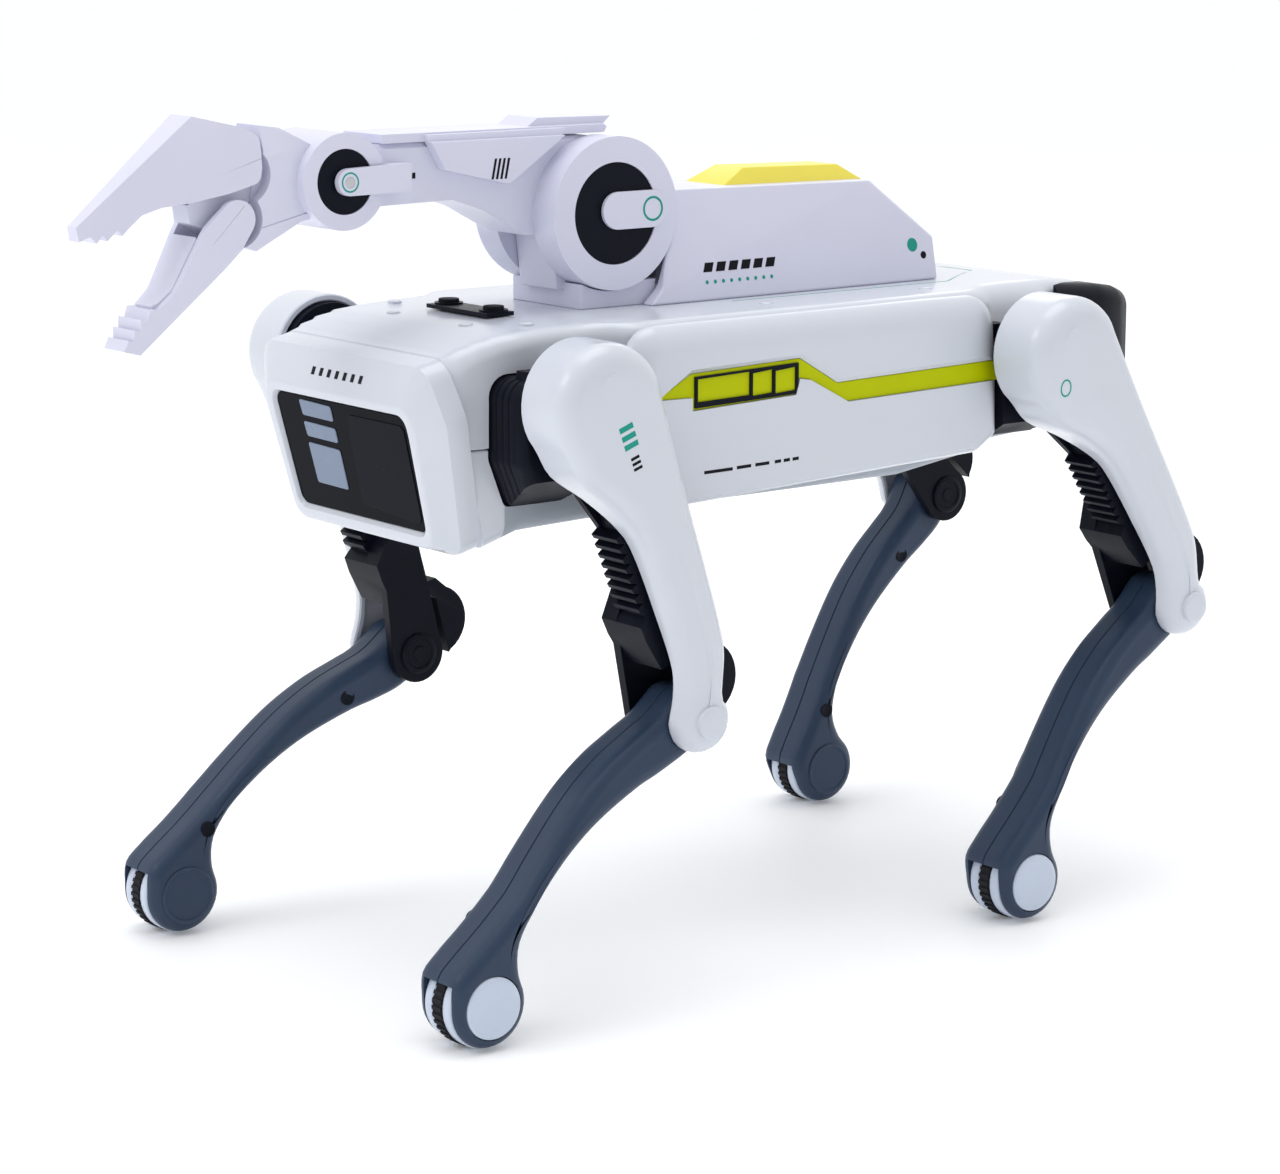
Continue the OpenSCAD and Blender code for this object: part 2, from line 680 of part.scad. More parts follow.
module upper_arm_cover() {
    color(LILAC) {
        along_x(-arm_x - 0.5, arm_x + 0.5) polygon([[-90.8, 231.1], [-17, 231.1], [-16, 232.6], [-17, 233.4],
            [-90.8, 233.6]]);
        along_x(-7, 7) polygon([[-42, 233.2], [-38, 235.8], [-13, 235.4], [-15.5, 233.2]]);
        both_sides() {
            along_x(arm_x, 12.6) polygon([[-77, 231.1], [-72.5, 223.4], [-51.5, 218.6], [-37, 228],
                [-32.5, 231.1]]);
            along_x(arm_x + 0.4, 11) polygon([[-77, 231.1], [-77.5, 233], [-31, 233], [-32.5, 231.1]]);
        }
    }
}

module shoulder_discs() {
    color(BLACK) at_shoulder() both_sides() difference() {
        disc_x(cheek_x - 1.2, cheek_x - 0.3, disc_r);
        disc_x(cheek_x - 2, cheek_x, 1.5);
    }
}
module shoulder_links() {
    link_r = 5.2;
    link_len = 12;
    color(LILAC) at_shoulder() both_sides() {
        along_x(cheek_x, cheek_x + 1.1) polygon(concat(arc([0, 0.8], link_r, 90, 270, 14),
            arc([link_len, 0.8], link_r, -90, 90, 14)));
        disc_x(cheek_x - 1.2, cheek_x + 0.5, 1.45);
    }
}
module shoulder_pin() {
    color("silver") at_shoulder() disc_x(-cheek_x + 1.2, cheek_x - 1.2, shoulder_pin_r);
}
module wrist_pin() {
    color("silver") at_wrist() disc_x(-14.9, 14.9, 1.5);
}

// ---- head and jaws
tongue_x = 4.5;
module head_base() {
    block_x = 8.8;
    color(LILAC) difference() {
        union() {
            at_wrist() disc_x(-12.5, 12.5, wrist_r);
            along_x(-block_x, block_x) polygon([[-104, 229], [-112, 231.6], [-121, 236.6], [-126.6, 237.4],
                [-126.8, 231], [-130, 213], [-134, 206.4], [-130, 205], [-116, 212], [-104, 214]]);
            along_x(-tongue_x, tongue_x) polygon([[-124, 232], [-136, 231.6], [-144, 227], [-144, 220],
                [-140.5, 209], [-134, 206.4], [-124, 210]]);
        }
        at_wrist() both_sides() disc_x(11.5, 20, 8.7);
        at_wrist() disc_x(-20, 20, 1.5 + run_fit);
        at_jaw() both_sides() disc_x(tongue_x, 20, 7.5);
        at_jaw() disc_x(-20, 20, jaw_pin_r + run_fit / 2);
        at_upper_jaw() both_sides() disc_x(tongue_x, 20, 7.7);
        at_upper_jaw() disc_x(-20, 20, jaw_pin_r + run_fit / 2);
    }
}
module at_jaw() {
    translate([0, jaw_y, jaw_z]) children();
}
module at_upper_jaw() {
    translate([0, upper_jaw_y, upper_jaw_z]) children();
}
module wrist_discs() {
    color(BLACK) at_wrist() both_sides() difference() {
        disc_x(11.5, 12.3, 8.6);
        disc_x(11, 13, 1.6);
    }
}
module jaw_pins() {
    color("silver") {
        at_jaw() disc_x(-9.3, 9.3, jaw_pin_r);
        at_upper_jaw() disc_x(-9.3, 9.3, jaw_pin_r);
    }
}

// plan of both jaws: full width at the hinge, narrow at the tip
module jaw_plan(e, tip_x, tip_y) {
    along_z(160, 260) polygon([[9.2 - e, -120], [9.2 - e, -140], [tip_x - e, tip_y + e],
        [-tip_x + e, tip_y + e], [-9.2 + e, -140], [-9.2 + e, -120]]);
}
module upper_jaw() {
    color(LILAC) difference() {
        intersection() {
            along_x(-10, 10) polygon([[-180, 213.6], [-146.5, 240.6], [-133, 237], [-128.6, 234.4],
                [-127.6, 230],
                [-128.4, 223.4], [-137.4, 220.4], [-148, 218.4], [-156, 217.8], [-162.5, 215.6],
                    [-166, 212.6],
                [-168.5, 213], [-170, 210.4], [-172, 211.8], [-173.5, 209.6], [-175.5, 211.2],
                    [-178.6, 209.8]]);
            jaw_plan(0, 3.4, -181);
        }
        intersection() {
            along_x(-10, 10) polygon([[-170, 216.5], [-146, 237], [-133, 234], [-120, 234], [-120, 216],
                [-150, 214], [-160, 213]]);
            jaw_plan(2.6, 2.8, -172);
        }
        at_upper_jaw() disc_x(-20, 20, jaw_pin_r + run_fit);
    }
}

module lower_jaw() {
    color(LILAC) difference() {
        intersection() {
            along_x(-10, 10) polygon(concat(arc([jaw_y, jaw_z], 5.2, 130, -35, 14), [[-134.6, 206.4],
                [-163, 179.8], [-168, 181.6], [-166.4, 184], [-165, 183.6], [-164, 186.4], [-162.4, 186],
                [-161.4, 188.8], [-159.6, 188.4], [-158.4, 191.4], [-151.4, 198.4], [-149, 204],
                    [-146, 210]]));
            jaw_plan(0, 3.4, -170);
        }
        // trough between the side walls, and room for the tongue of the head
        intersection() {
            along_x(-10, 10) polygon([[-120, 225], [-120, 208.6], [-134.6, 208.6], [-158.6, 186.6],
                [-160.5, 196], [-150, 225]]);
            jaw_plan(2.4, 2.6, -170);
        }
        along_x(-tongue_x - gap, tongue_x + gap) polygon([[-120, 225], [-120, 200], [-134.6, 203],
            [-142.5, 207.4], [-149, 218], [-149, 225]]);
        at_jaw() disc_x(-20, 20, jaw_pin_r + run_fit);
    }
}

top_cover();
belly_shell();
face_bezel();
face_screen();
left_side_panel();
right_side_panel();
accent_strips();
window_frames();
hip_gearboxes();
rear_bumper();
button_plate();
left_button();
right_button();
backpack_shell();
backpack_strip();
arm_pedestal();
battery_door();
battery_pack();
circuit_board();
power_switch();
case_screws();
upper_arm_shell();
upper_arm_cover();
shoulder_discs();
shoulder_links();
shoulder_pin();
wrist_pin();
head_base();
wrist_discs();
upper_jaw();
lower_jaw();
jaw_pins();
thigh_cover("front_left");  // front_left_thigh_cover
thigh_frame("front_left");  // front_left_thigh_frame
knee_pin("front_left");  // front_left_knee_pin
shin_outer("front_left");  // front_left_shin_outer
shin_inner("front_left");  // front_left_shin_inner
wheel("front_left");  // front_left_wheel
tyre("front_left");  // front_left_tyre
thigh_cover("front_right");  // front_right_thigh_cover
thigh_frame("front_right");  // front_right_thigh_frame
knee_pin("front_right");  // front_right_knee_pin
shin_outer("front_right");  // front_right_shin_outer
shin_inner("front_right");  // front_right_shin_inner
wheel("front_right");  // front_right_wheel
tyre("front_right");  // front_right_tyre
thigh_cover("rear_left");  // rear_left_thigh_cover
thigh_frame("rear_left");  // rear_left_thigh_frame
knee_pin("rear_left");  // rear_left_knee_pin
shin_outer("rear_left");  // rear_left_shin_outer
shin_inner("rear_left");  // rear_left_shin_inner
wheel("rear_left");  // rear_left_wheel
tyre("rear_left");  // rear_left_tyre
thigh_cover("rear_right");  // rear_right_thigh_cover
thigh_frame("rear_right");  // rear_right_thigh_frame
knee_pin("rear_right");  // rear_right_knee_pin
shin_outer("rear_right");  // rear_right_shin_outer
shin_inner("rear_right");  // rear_right_shin_inner
wheel("rear_right");  // rear_right_wheel
tyre("rear_right");  // rear_right_tyre
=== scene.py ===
"""Looks for the four-legged robot with a jaw arm: shells, legs, decals, materials, light and camera.

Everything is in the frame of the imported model. Sizes below are millimetres, turned into metres by MM.
"""
import json
import math

import bmesh
import bpy
import numpy as np
from mathutils import Matrix, Vector
from mathutils.bvhtree import BVHTree

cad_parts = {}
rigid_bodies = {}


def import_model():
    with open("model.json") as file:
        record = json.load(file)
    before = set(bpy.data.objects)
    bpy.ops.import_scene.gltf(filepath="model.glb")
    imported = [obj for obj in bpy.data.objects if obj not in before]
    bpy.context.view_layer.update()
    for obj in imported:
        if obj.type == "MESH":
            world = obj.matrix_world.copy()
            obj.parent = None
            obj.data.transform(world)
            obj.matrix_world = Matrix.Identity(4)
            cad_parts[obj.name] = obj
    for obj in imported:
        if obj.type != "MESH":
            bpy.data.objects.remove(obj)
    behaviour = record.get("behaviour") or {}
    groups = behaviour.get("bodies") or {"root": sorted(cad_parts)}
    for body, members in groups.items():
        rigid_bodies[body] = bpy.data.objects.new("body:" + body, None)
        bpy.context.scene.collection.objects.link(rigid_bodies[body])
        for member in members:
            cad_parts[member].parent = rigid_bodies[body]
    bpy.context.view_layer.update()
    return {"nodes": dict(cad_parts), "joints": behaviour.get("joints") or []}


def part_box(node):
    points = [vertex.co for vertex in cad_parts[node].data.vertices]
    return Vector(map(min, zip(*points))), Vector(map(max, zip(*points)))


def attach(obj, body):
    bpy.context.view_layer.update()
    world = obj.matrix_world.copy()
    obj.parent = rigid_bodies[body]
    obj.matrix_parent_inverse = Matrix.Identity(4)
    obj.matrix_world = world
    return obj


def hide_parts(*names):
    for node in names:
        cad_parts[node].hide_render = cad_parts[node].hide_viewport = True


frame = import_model()
nodes = frame["nodes"]

MM = 0.001
SHARP = 38  # degrees; edges that turn more than this stay crisp
LEGS = ["front_left", "front_right", "rear_left", "rear_right"]
JOINTS = {j["name"]: np.array(j["pos_m"], float) / MM for j in frame["joints"]}


# ------------ materials
def node_at(tree, kind, **values):
    made = tree.nodes.new(kind)
    for key, value in values.items():
        if key in made.inputs:
            made.inputs[key].default_value = value
        else:
            setattr(made, key, value)
    return made


def moulded(name, colour, rough, coat=0.0, grain=0.25, grain_scale=2600.0, vary=0.05, edge=0.0,
            specular=0.5, metallic=0.0, dust=(0.55, 0.55, 0.55), uneven=0.06):
    """Moulded plastic: a faint cloud in the colour, fine grain, uneven gloss, and rubbed edges."""
    mat = bpy.data.materials.new(name)
    mat.use_nodes = True
    tree = mat.node_tree
    link = tree.links.new
    shader = tree.nodes["Principled BSDF"]
    for socket, value in (("Specular IOR Level", specular), ("Metallic", metallic), ("Coat Weight", coat),
                          ("Coat Roughness", 0.08)):
        shader.inputs[socket].default_value = value
    where = node_at(tree, "ShaderNodeTexCoord")
    cloud = node_at(tree, "ShaderNodeTexNoise", Scale=28.0, Detail=3.0, Roughness=0.6)
    fine = node_at(tree, "ShaderNodeTexNoise", Scale=grain_scale, Detail=2.0, Roughness=0.5)
    smear = node_at(tree, "ShaderNodeTexNoise", Scale=90.0, Detail=5.0, Roughness=0.65, Distortion=0.6)
    for noise in (cloud, fine, smear):
        link(where.outputs["Object"], noise.inputs["Vector"])
    body = node_at(tree, "ShaderNodeValToRGB")
    for stop, at, shade in zip(body.color_ramp.elements, (0.3, 0.7), (1 - vary, 1 + vary * 0.5)):
        stop.position = at
        stop.color = [min(1, c * shade) for c in colour] + [1]
    link(cloud.outputs["Fac"], body.inputs["Fac"])
    shape = node_at(tree, "ShaderNodeNewGeometry")
    rub = node_at(tree, "ShaderNodeMapRange", **{"From Min": 0.53, "From Max": 0.62, "To Max": edge})
    link(shape.outputs["Pointiness"], rub.inputs["Value"])
    worn = node_at(tree, "ShaderNodeMix", data_type="RGBA")
    worn.inputs["B"].default_value = (*dust, 1)
    link(rub.outputs["Result"], worn.inputs["Factor"])
    link(body.outputs["Color"], worn.inputs["A"])
    link(worn.outputs["Result"], shader.inputs["Base Color"])
    gloss = node_at(tree, "ShaderNodeMapRange", **{"From Min": 0.3, "From Max": 0.7,
                                                   "To Min": max(0.02, rough - uneven),
                                                   "To Max": min(1.0, rough + uneven)})
    link(smear.outputs["Fac"], gloss.inputs["Value"])
    link(gloss.outputs["Result"], shader.inputs["Roughness"])
    bump = node_at(tree, "ShaderNodeBump", Strength=grain, Distance=0.05 * MM)
    link(fine.outputs["Fac"], bump.inputs["Height"])
    link(bump.outputs["Normal"], shader.inputs["Normal"])
    return mat


WHITE = moulded("white_plastic", (0.62, 0.65, 0.72), 0.24, coat=0.25, grain=0.03, vary=0.012, uneven=0.012)
LILAC = moulded("lilac_plastic", (0.68, 0.685, 0.82), 0.34, coat=0.1, grain=0.05, vary=0.02, uneven=0.02)
# the belly's white plastic with its shade painted in as grey; the battery door takes it too
BELLY_SHADE_GREY = moulded("belly_grey_painted_shade", (0.36, 0.395, 0.45), 0.42, grain=0.15, vary=0.04, uneven=0.03)
BLACK = moulded("black_plastic", (0.0055, 0.0070, 0.0135), 0.36, vary=0.15, edge=0.03, specular=0.08,
                dust=(0.12, 0.13, 0.16))
SLATE = moulded("slate_plastic", (0.026, 0.046, 0.088), 0.36, grain=0.20, vary=0.08, edge=0.05,
                specular=0.28, dust=(0.2, 0.24, 0.32), uneven=0.03)
LIME = moulded("lime_plastic", (0.50, 0.56, 0.001), 0.42, grain=0.1, vary=0.04, specular=0.08)
YELLOW = moulded("yellow_plastic", (0.86, 0.74, 0.10), 0.36, grain=0.1, vary=0.04, specular=0.3)
# the wheel's white plastic with the shade seen on its hub painted in as a pale blue-grey
WHEEL_SHADE_BLUE = moulded("wheel_white_painted_shade", (0.54, 0.61, 0.74), 0.22, coat=0.3, grain=0.03, vary=0.02, uneven=0.01)
RUBBER = moulded("black_rubber", (0.008, 0.009, 0.013), 0.7, grain=0.8, grain_scale=1500, vary=0.2,
                 edge=0.10, specular=0.12, dust=(0.12, 0.12, 0.13))
GLASS = moulded("screen_gloss", (0.003, 0.0035, 0.007), 0.10, grain=0.01, vary=0.1, specular=0.03,
                uneven=0.02)
PANE = moulded("screen_pane", (0.0055, 0.0068, 0.012), 0.22, grain=0.02, vary=0.1, specular=0.03)
TILE = moulded("screen_tile", (0.19, 0.24, 0.335), 0.3, grain=0.03, vary=0.06, specular=0.2)
TEAL = moulded("teal_ink", (0.012, 0.31, 0.24), 0.42, grain=0.05, specular=0.2)
INK = moulded("black_ink", (0.006, 0.007, 0.011), 0.42, grain=0.05, specular=0.1)
STEEL = moulded("screw_steel", (0.55, 0.56, 0.58), 0.32, grain=0.3, edge=0.2, metallic=1.0)
BOARD = moulded("board_green", (0.01, 0.16, 0.07), 0.4, grain=0.3, vary=0.1)
WRAP = moulded("battery_wrap", (0.03, 0.10, 0.40), 0.3, grain=0.2)


# ------------ mesh tools
def crisp(mesh, angle=SHARP):
    """Smooth faces, with the edges that turn sharply marked sharp."""
    bm = bmesh.new()
    bm.from_mesh(mesh)
    limit = math.radians(angle)
    for f in bm.faces:
        f.smooth = True
    for e in bm.edges:
        e.smooth = len(e.link_faces) == 2 and e.calc_face_angle(0.0) < limit
    bm.to_mesh(mesh)
    bm.free()


def put_in(obj):
    """Links an object into the scene."""
    bpy.context.scene.collection.objects.link(obj)
    return obj


def make(name, verts, faces, body, material, angle=SHARP):
    """A closed piece from points in millimetres, riding a body."""
    mesh = bpy.data.meshes.new(name)
    mesh.from_pydata([tuple(float(c) * MM for c in v) for v in verts], [], faces)
    bm = bmesh.new()
    bm.from_mesh(mesh)
    bmesh.ops.remove_doubles(bm, verts=bm.verts, dist=0.002 * MM)
    bmesh.ops.recalc_face_normals(bm, faces=bm.faces)
    bm.to_mesh(mesh)
    bm.free()
    crisp(mesh, angle)
    obj = put_in(bpy.data.objects.new(name, mesh))
    mesh.materials.append(material)
    if body:
        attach(obj, body)
    return obj


def arc(centre, radius, start, end, count):
    """Points on an arc, angles in degrees."""
    turn = np.radians(np.linspace(start, end, count + 1))
    return np.c_[centre[0] + radius * np.cos(turn), centre[1] + radius * np.sin(turn)]


def circle(y, z, r, tall=1.0, count=36):
    """A round outline."""
    turn = np.linspace(0, 2 * math.pi, count, False)
    return [(y + r * math.cos(t), z + r * tall * math.sin(t)) for t in turn]


def roll(radius, steps):
    """A rim's quarter turn as pairs: how far in from the outline, and how far out towards the face."""
    turn = np.linspace(0, math.pi / 2, steps + 1)
    return list(zip(radius * (1 - np.cos(turn)), radius * np.sin(turn)))


def span(side, near, far):
    """Two distances from the middle plane as X on one side, the lower first."""
    return sorted((side * near, side * far))


def mirrored(points):
    """The points of one half, then the other half's in reverse order."""
    return points + [(-x, *rest) for x, *rest in reversed(points)]


def rounded(corners, steps=6):
    """A closed outline whose corners (x, y, r) are arcs, the same number of points at each corner."""
    out = []
    for i, (x, y, r) in enumerate(corners):
        q = np.array([x, y], float)
        u = np.array(corners[i - 1][:2], float) - q
        v = np.array(corners[(i + 1) % len(corners)][:2], float) - q
        u, v = u / np.linalg.norm(u), v / np.linalg.norm(v)
        half = math.acos(max(-1, min(1, float(u @ v)))) / 2
        reach = r / math.tan(half) if half > 0.02 else r
        a, b = q + u * reach, q + v * reach
        for k in range(steps + 1):
            t = k / steps
            # a rational curve that is a true arc between the two tangent points
            weights = np.array([(1 - t) ** 2, 2 * math.sin(half) * t * (1 - t), t ** 2])
            out.append((weights[0] * a + weights[1] * q + weights[2] * b) / weights.sum())
    return np.array(out)


def spline(points, count):
    """An open smooth curve through the points, resampled evenly."""
    p = np.array(points, float)
    ends = np.vstack([2 * p[0] - p[1], p, 2 * p[-1] - p[-2]])
    fine = []
    for i in range(len(p) - 1):
        a, b, c, d = ends[i:i + 4]
        for t in np.linspace(0, 1, 12, endpoint=False):
            fine.append(0.5 * (2 * b + (c - a) * t + (2 * a - 5 * b + 4 * c - d) * t ** 2
                               + (3 * b - a - 3 * c + d) * t ** 3))
    fine = np.vstack([fine, p[-1]])
    run = np.r_[0, np.cumsum(np.linalg.norm(np.diff(fine, axis=0), axis=1))]
    at = np.linspace(0, run[-1], count)
    return np.c_[np.interp(at, run, fine[:, 0]), np.interp(at, run, fine[:, 1])]


def inset(loop, amount):
    """The outline moved inwards by amount, or by one amount per point."""
    ahead = np.roll(loop, -1, 0)
    along = ahead - np.roll(loop, 1, 0)
    along /= np.maximum(np.linalg.norm(along, axis=1), 1e-9)[:, None]
    left = np.c_[-along[:, 1], along[:, 0]]
    area = np.sum(loop[:, 0] * ahead[:, 1] - loop[:, 1] * ahead[:, 0])
    amount = np.broadcast_to(np.asarray(amount, float), (len(loop),))
    return loop + left * (math.copysign(1, area) * amount)[:, None]


def at_x(loop, amount, x):
    """A ring at one X: the outline moved inwards by amount."""
    flat = inset(loop, amount)
    return np.c_[np.full(len(flat), x), flat]


def bridge(rings):
    """Points of rings of equal length, ring after ring, and the quads between them."""
    n = len(rings[0])
    faces = []
    for k in range(len(rings) - 1):
        for i in range(n):
            j, a = (i + 1) % n, k * n
            faces.append((a + i, a + j, a + n + j, a + n + i))
    return [p for ring in rings for p in ring], faces


def ladder_cap(verts, faces, ring, first, crown, strips=6):
    """Closes a ring made of two equal sides with strips from side to side, raised by crown along X."""
    half = len(ring) // 2
    rows = []
    for i in range(1, half):
        a, b = np.array(ring[i]), np.array(ring[-i])
        row = [first + i]
        for k in range(1, strips):
            t = k / strips
            p = a + (b - a) * t
            p[0] += crown * (1 - (2 * t - 1) ** 2)
            verts.append(p)
            row.append(len(verts) - 1)
        row.append(first + len(ring) - i)
        rows.append(row)
    for up, down in zip(rows, rows[1:]):
        for k in range(strips):
            faces.append((up[k], up[k + 1], down[k + 1], down[k]))
    for k in range(strips):
        faces.append((first, rows[0][k], rows[0][k + 1]))
        faces.append((first + half, rows[-1][k + 1], rows[-1][k]))


def prism(name, outline, lo, hi, axis="X", fillet=0.0, body=None, material=None):
    """A plate of constant thickness along an axis, its rims rounded."""
    loop = np.array(outline, float)
    stages = [(0, lo), (0, hi)]
    if fillet:
        top = [(d, hi - fillet + out) for d, out in roll(fillet, 4)] + [(fillet * 1.08 + 0.02, hi)]
        stages = [(d, lo + hi - x) for d, x in reversed(top)] + top
    rings = []
    for d, x in stages:
        flat = inset(loop, d)
        depth = np.full(len(flat), x)
        columns = {"X": (depth, flat[:, 0], flat[:, 1]), "Y": (flat[:, 0], depth, flat[:, 1]),
                   "Z": (flat[:, 0], flat[:, 1], depth)}[axis]
        rings.append(np.c_[columns])
    return loft(name, rings, body, material or WHITE)


def lathe(name, profile, centre, body, material, count=64, side=1, angle=SHARP):
    """A turned piece about X: profile is (x, r) from one end to the other, r 0 at an end closes it."""
    turn = np.linspace(0, 2 * math.pi, count, endpoint=False)
    verts, rows, faces = [], [], []
    for x, r in profile:
        if r < 1e-6:
            rows.append([len(verts)])
            verts.append((side * x, centre[1], centre[2]))
        else:
            rows.append(list(range(len(verts), len(verts) + count)))
            verts += [(side * x, centre[1] + r * math.cos(t), centre[2] + r * math.sin(t)) for t in turn]
    for a, b in zip(rows, rows[1:]):
        for i in range(count):
            j = (i + 1) % count
            quad = [a[i % len(a)], a[j % len(a)], b[j % len(b)], b[i % len(b)]]
            faces.append(tuple(dict.fromkeys(quad)))
    return make(name, verts, faces, body, material, angle)


def loft(name, rings, body, material):
    """A closed solid through rings of equal length."""
    verts, faces = bridge(rings)
    n = len(rings[0])
    faces += [tuple(range(n)), tuple(range(len(verts) - n, len(verts)))]
    return make(name, verts, faces, body, material)


def carve(piece, cutters, operation="DIFFERENCE", angle=SHARP):
    """Cuts the cutters out of a piece and keeps only the result."""
    for cutter in cutters:
        mod = piece.modifiers.new("cut", "BOOLEAN")
        mod.operation = operation
        mod.solver = "EXACT"
        mod.object = cutter
    bpy.context.view_layer.update()
    whole = piece.evaluated_get(bpy.context.evaluated_depsgraph_get())
    mesh = bpy.data.meshes.new_from_object(whole)
    piece.modifiers.clear()
    piece.data = mesh
    for cutter in cutters:
        bpy.data.objects.remove(cutter)
    crisp(mesh, angle)
    return piece


def round_edges(obj, width, segments=3, angle=28.0, whole=True):
    """Rounded edges by modifiers; whole dissolves flat faces first, which suits faces without holes."""
    obj.data.polygons.foreach_set("use_smooth", [True] * len(obj.data.polygons))
    weld = obj.modifiers.new("weld", "WELD")
    weld.merge_threshold = 0.004 * MM
    if whole:
        plain = obj.modifiers.new("plain", "DECIMATE")
        plain.decimate_type = "DISSOLVE"
        plain.angle_limit = math.radians(0.8)
    edge = obj.modifiers.new("edge", "BEVEL")
    edge.width = width * MM
    edge.segments = segments
    edge.limit_method = "ANGLE"
    edge.angle_limit = math.radians(angle)
    edge.harden_normals = True
    edge.miter_outer = "MITER_ARC"


def soften(node, width, material, segments=3, whole=True):
    """A CAD node that stays: rounded edges and a material."""
    obj = nodes[node]
    obj.data.materials.clear()
    obj.data.materials.append(material)
    if "custom_normal" in obj.data.attributes:
        obj.data.attributes.remove(obj.data.attributes["custom_normal"])
    round_edges(obj, width, segments, whole=whole)


def stand_for(piece, node, body=None):
    """The piece takes a CAD node's place: the node is hidden, and the piece rides the body if one is given.
    """
    if body:
        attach(piece, body)
    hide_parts(node)


def half_space(point, normal, size=60):
    """A block that fills the side of a plane its normal points to, for cutting."""
    n = np.array(normal, float) / np.linalg.norm(normal)
    u = np.cross(n, (0.0, 1.0, 0.0) if abs(n[1]) < 0.9 else (0.0, 0.0, 1.0))
    u /= np.linalg.norm(u)
    v = np.cross(n, u)
    base = [np.array(point, float) + size * (a * u + b * v) for a, b in ((-1, -1), (1, -1), (1, 1), (-1, 1))]
    return loft("half_space", [base, [q + size * n for q in base]], None, WHITE)


def both(cutter_of):
    """The same cutter on both sides."""
    return [cutter_of(side) for side in (-1, 1)]


def printed(name, target, points, aim, body, material, hole=None):
    """A printed mark: its outline is projected along aim on to the target and stands proud by a hair."""
    tree = BVHTree.FromPolygons([v.co for v in target.data.vertices],
                                [q.vertices for q in target.data.polygons])
    aim = Vector(aim).normalized()
    proud, sunk, away = 0.05 * MM, 0.25 * MM, 30 * MM

    def on_target(outline):
        starts = [Vector([float(c) * MM for c in q]) for q in outline]
        return [tree.ray_cast(q - aim * away, aim)[0] or q for q in starts]

    outer = on_target(points)
    inner = on_target(hole) if hole is not None else None
    loops = [[q + aim * sunk for q in outer], [q - aim * proud for q in outer]]
    if inner:
        loops += [[q - aim * proud for q in inner], [q + aim * sunk for q in inner]]
        loops.append(loops[0])
    verts, faces = bridge([[tuple(c / MM for c in q) for q in loop] for loop in loops])
    n = len(outer)
    if not inner:
        faces += [tuple(range(n)), tuple(range(n, 2 * n))]
    make(name, verts, faces, body, material)


def on_x(outline, x):
    """An outline in Y and Z put at one X."""
    return [(x, y, z) for y, z in outline]


# ------------ legs
HIP_R = 17.3
KNEE_R = 9.3
COVER_X = 80.0          # outer face of the covers
FILLET = 6.2
FOOT_R = 11.4
SHIN_ROLL = 3.6
WELL = (63.6, 76.4, 12.4)  # wheel well: from, to, radius


def placed(points, side, pivot, lean):
    """Points in a leg's own frame (X outwards, Y back, Z up from the pivot) put where the leg stands."""
    p = np.array(points, float)
    c, s = math.cos(lean), math.sin(lean)
    return np.c_[side * p[:, 0], pivot[1] + p[:, 1] * c - p[:, 2] * s, pivot[2] + p[:, 1] * s + p[:, 2] * c]


def two_sided(front, rear, count=56):
    """A closed outline from the top down the front and back up the rear, with as many points on each."""
    down = spline(front, count + 1)
    up = spline(rear, count + 1)
    return np.vstack([down, up[-2:0:-1]])


def leg_shell(name, loop, stages, side, pivot, lean, body, material, crown):
    """Rings of (inset, x rule) from the inner side to the outer, closed at both ends."""
    rings = [np.c_[[rule(z) for z in loop[:, 1]], inset(loop, d)] for d, rule in stages]
    verts, faces = bridge(rings)
    ladder_cap(verts, faces, rings[0], 0, 0.0)
    ladder_cap(verts, faces, rings[-1], (len(rings) - 1) * len(loop), crown)
    return make(name, placed(verts, side, pivot, lean), faces, body, material)


def between(z, *stops):
    """A value that runs from stop to stop as z goes down."""
    return float(np.interp(-z, [-at for at, value in stops], [value for at, value in stops]))


def cover_rim(z):
    return between(z, (30, 60.0), (-14, 60.0), (-24, 63.6), (-38, 69.0), (-78, 71.4), (-120, 71.4))


def cover_face(z):
    return between(z, (30, COVER_X - 0.5), (-8, COVER_X - 0.5), (-50, 79.0), (-93, 78.2), (-120, 78.2))


def thigh_cover(leg, side, hip, lean, length):
    """The white cover from the hip down over the knee."""
    k = -length
    front = np.vstack([arc((0, 0), HIP_R, 90, 202, 12),
                       [(-14.2, -15.4), (-8.8, -24), (-4.2, -34), (-2.5, -44), (-2.2, -60), (-2.6, -76),
                        (-5.0, -84)], arc((0, k), KNEE_R, 158, 270, 10)])
    rear = np.vstack([arc((0, 0), HIP_R, 90, -12, 10),
                      [(16.0, -20), (15.4, -36), (15.0, -54), (14.4, -70), (13.2, -79)],
                      arc((0, k), KNEE_R, 22, -90, 10)])
    loop = two_sided(front, rear)
    stages = [(2.2, lambda z: cover_rim(z) + 3.0), (2.0, lambda z: cover_rim(z) + 0.4), (1.6, cover_rim),
              (0.4, cover_rim), (0.0, lambda z: cover_rim(z) + 0.4)]
    for t in (0.3, 0.65):
        stages.append((0.0, lambda z, t=t: cover_rim(z)
                       + t * max(0.6, cover_face(z) - FILLET - cover_rim(z))))
    for d, out in roll(FILLET, 8):
        stages.append((d, lambda z, out=out: max(cover_face(z) - FILLET + out,
                                                 cover_rim(z) + 0.9 + 0.2 * out / FILLET)))
    stages.append((FILLET + 1.2, lambda z: cover_face(z) + 0.12))
    piece = leg_shell(leg + "_thigh_cover_shell", loop, stages, side, hip, lean, leg + "_upper_leg", WHITE,
                      0.35)
    stand_for(piece, leg + "_thigh_cover")


def shin_face(z, share):
    """X of the shin between its inner (0) and outer (1) face."""
    inner = between(z, (12, 54.6), (-12, 54.6), (-72, 60.2), (-120, 60.2))
    outer = between(z, (12, 71.0), (-12, 71.0), (-72, 79.3), (-120, 79.3))
    return inner + (outer - inner) * share


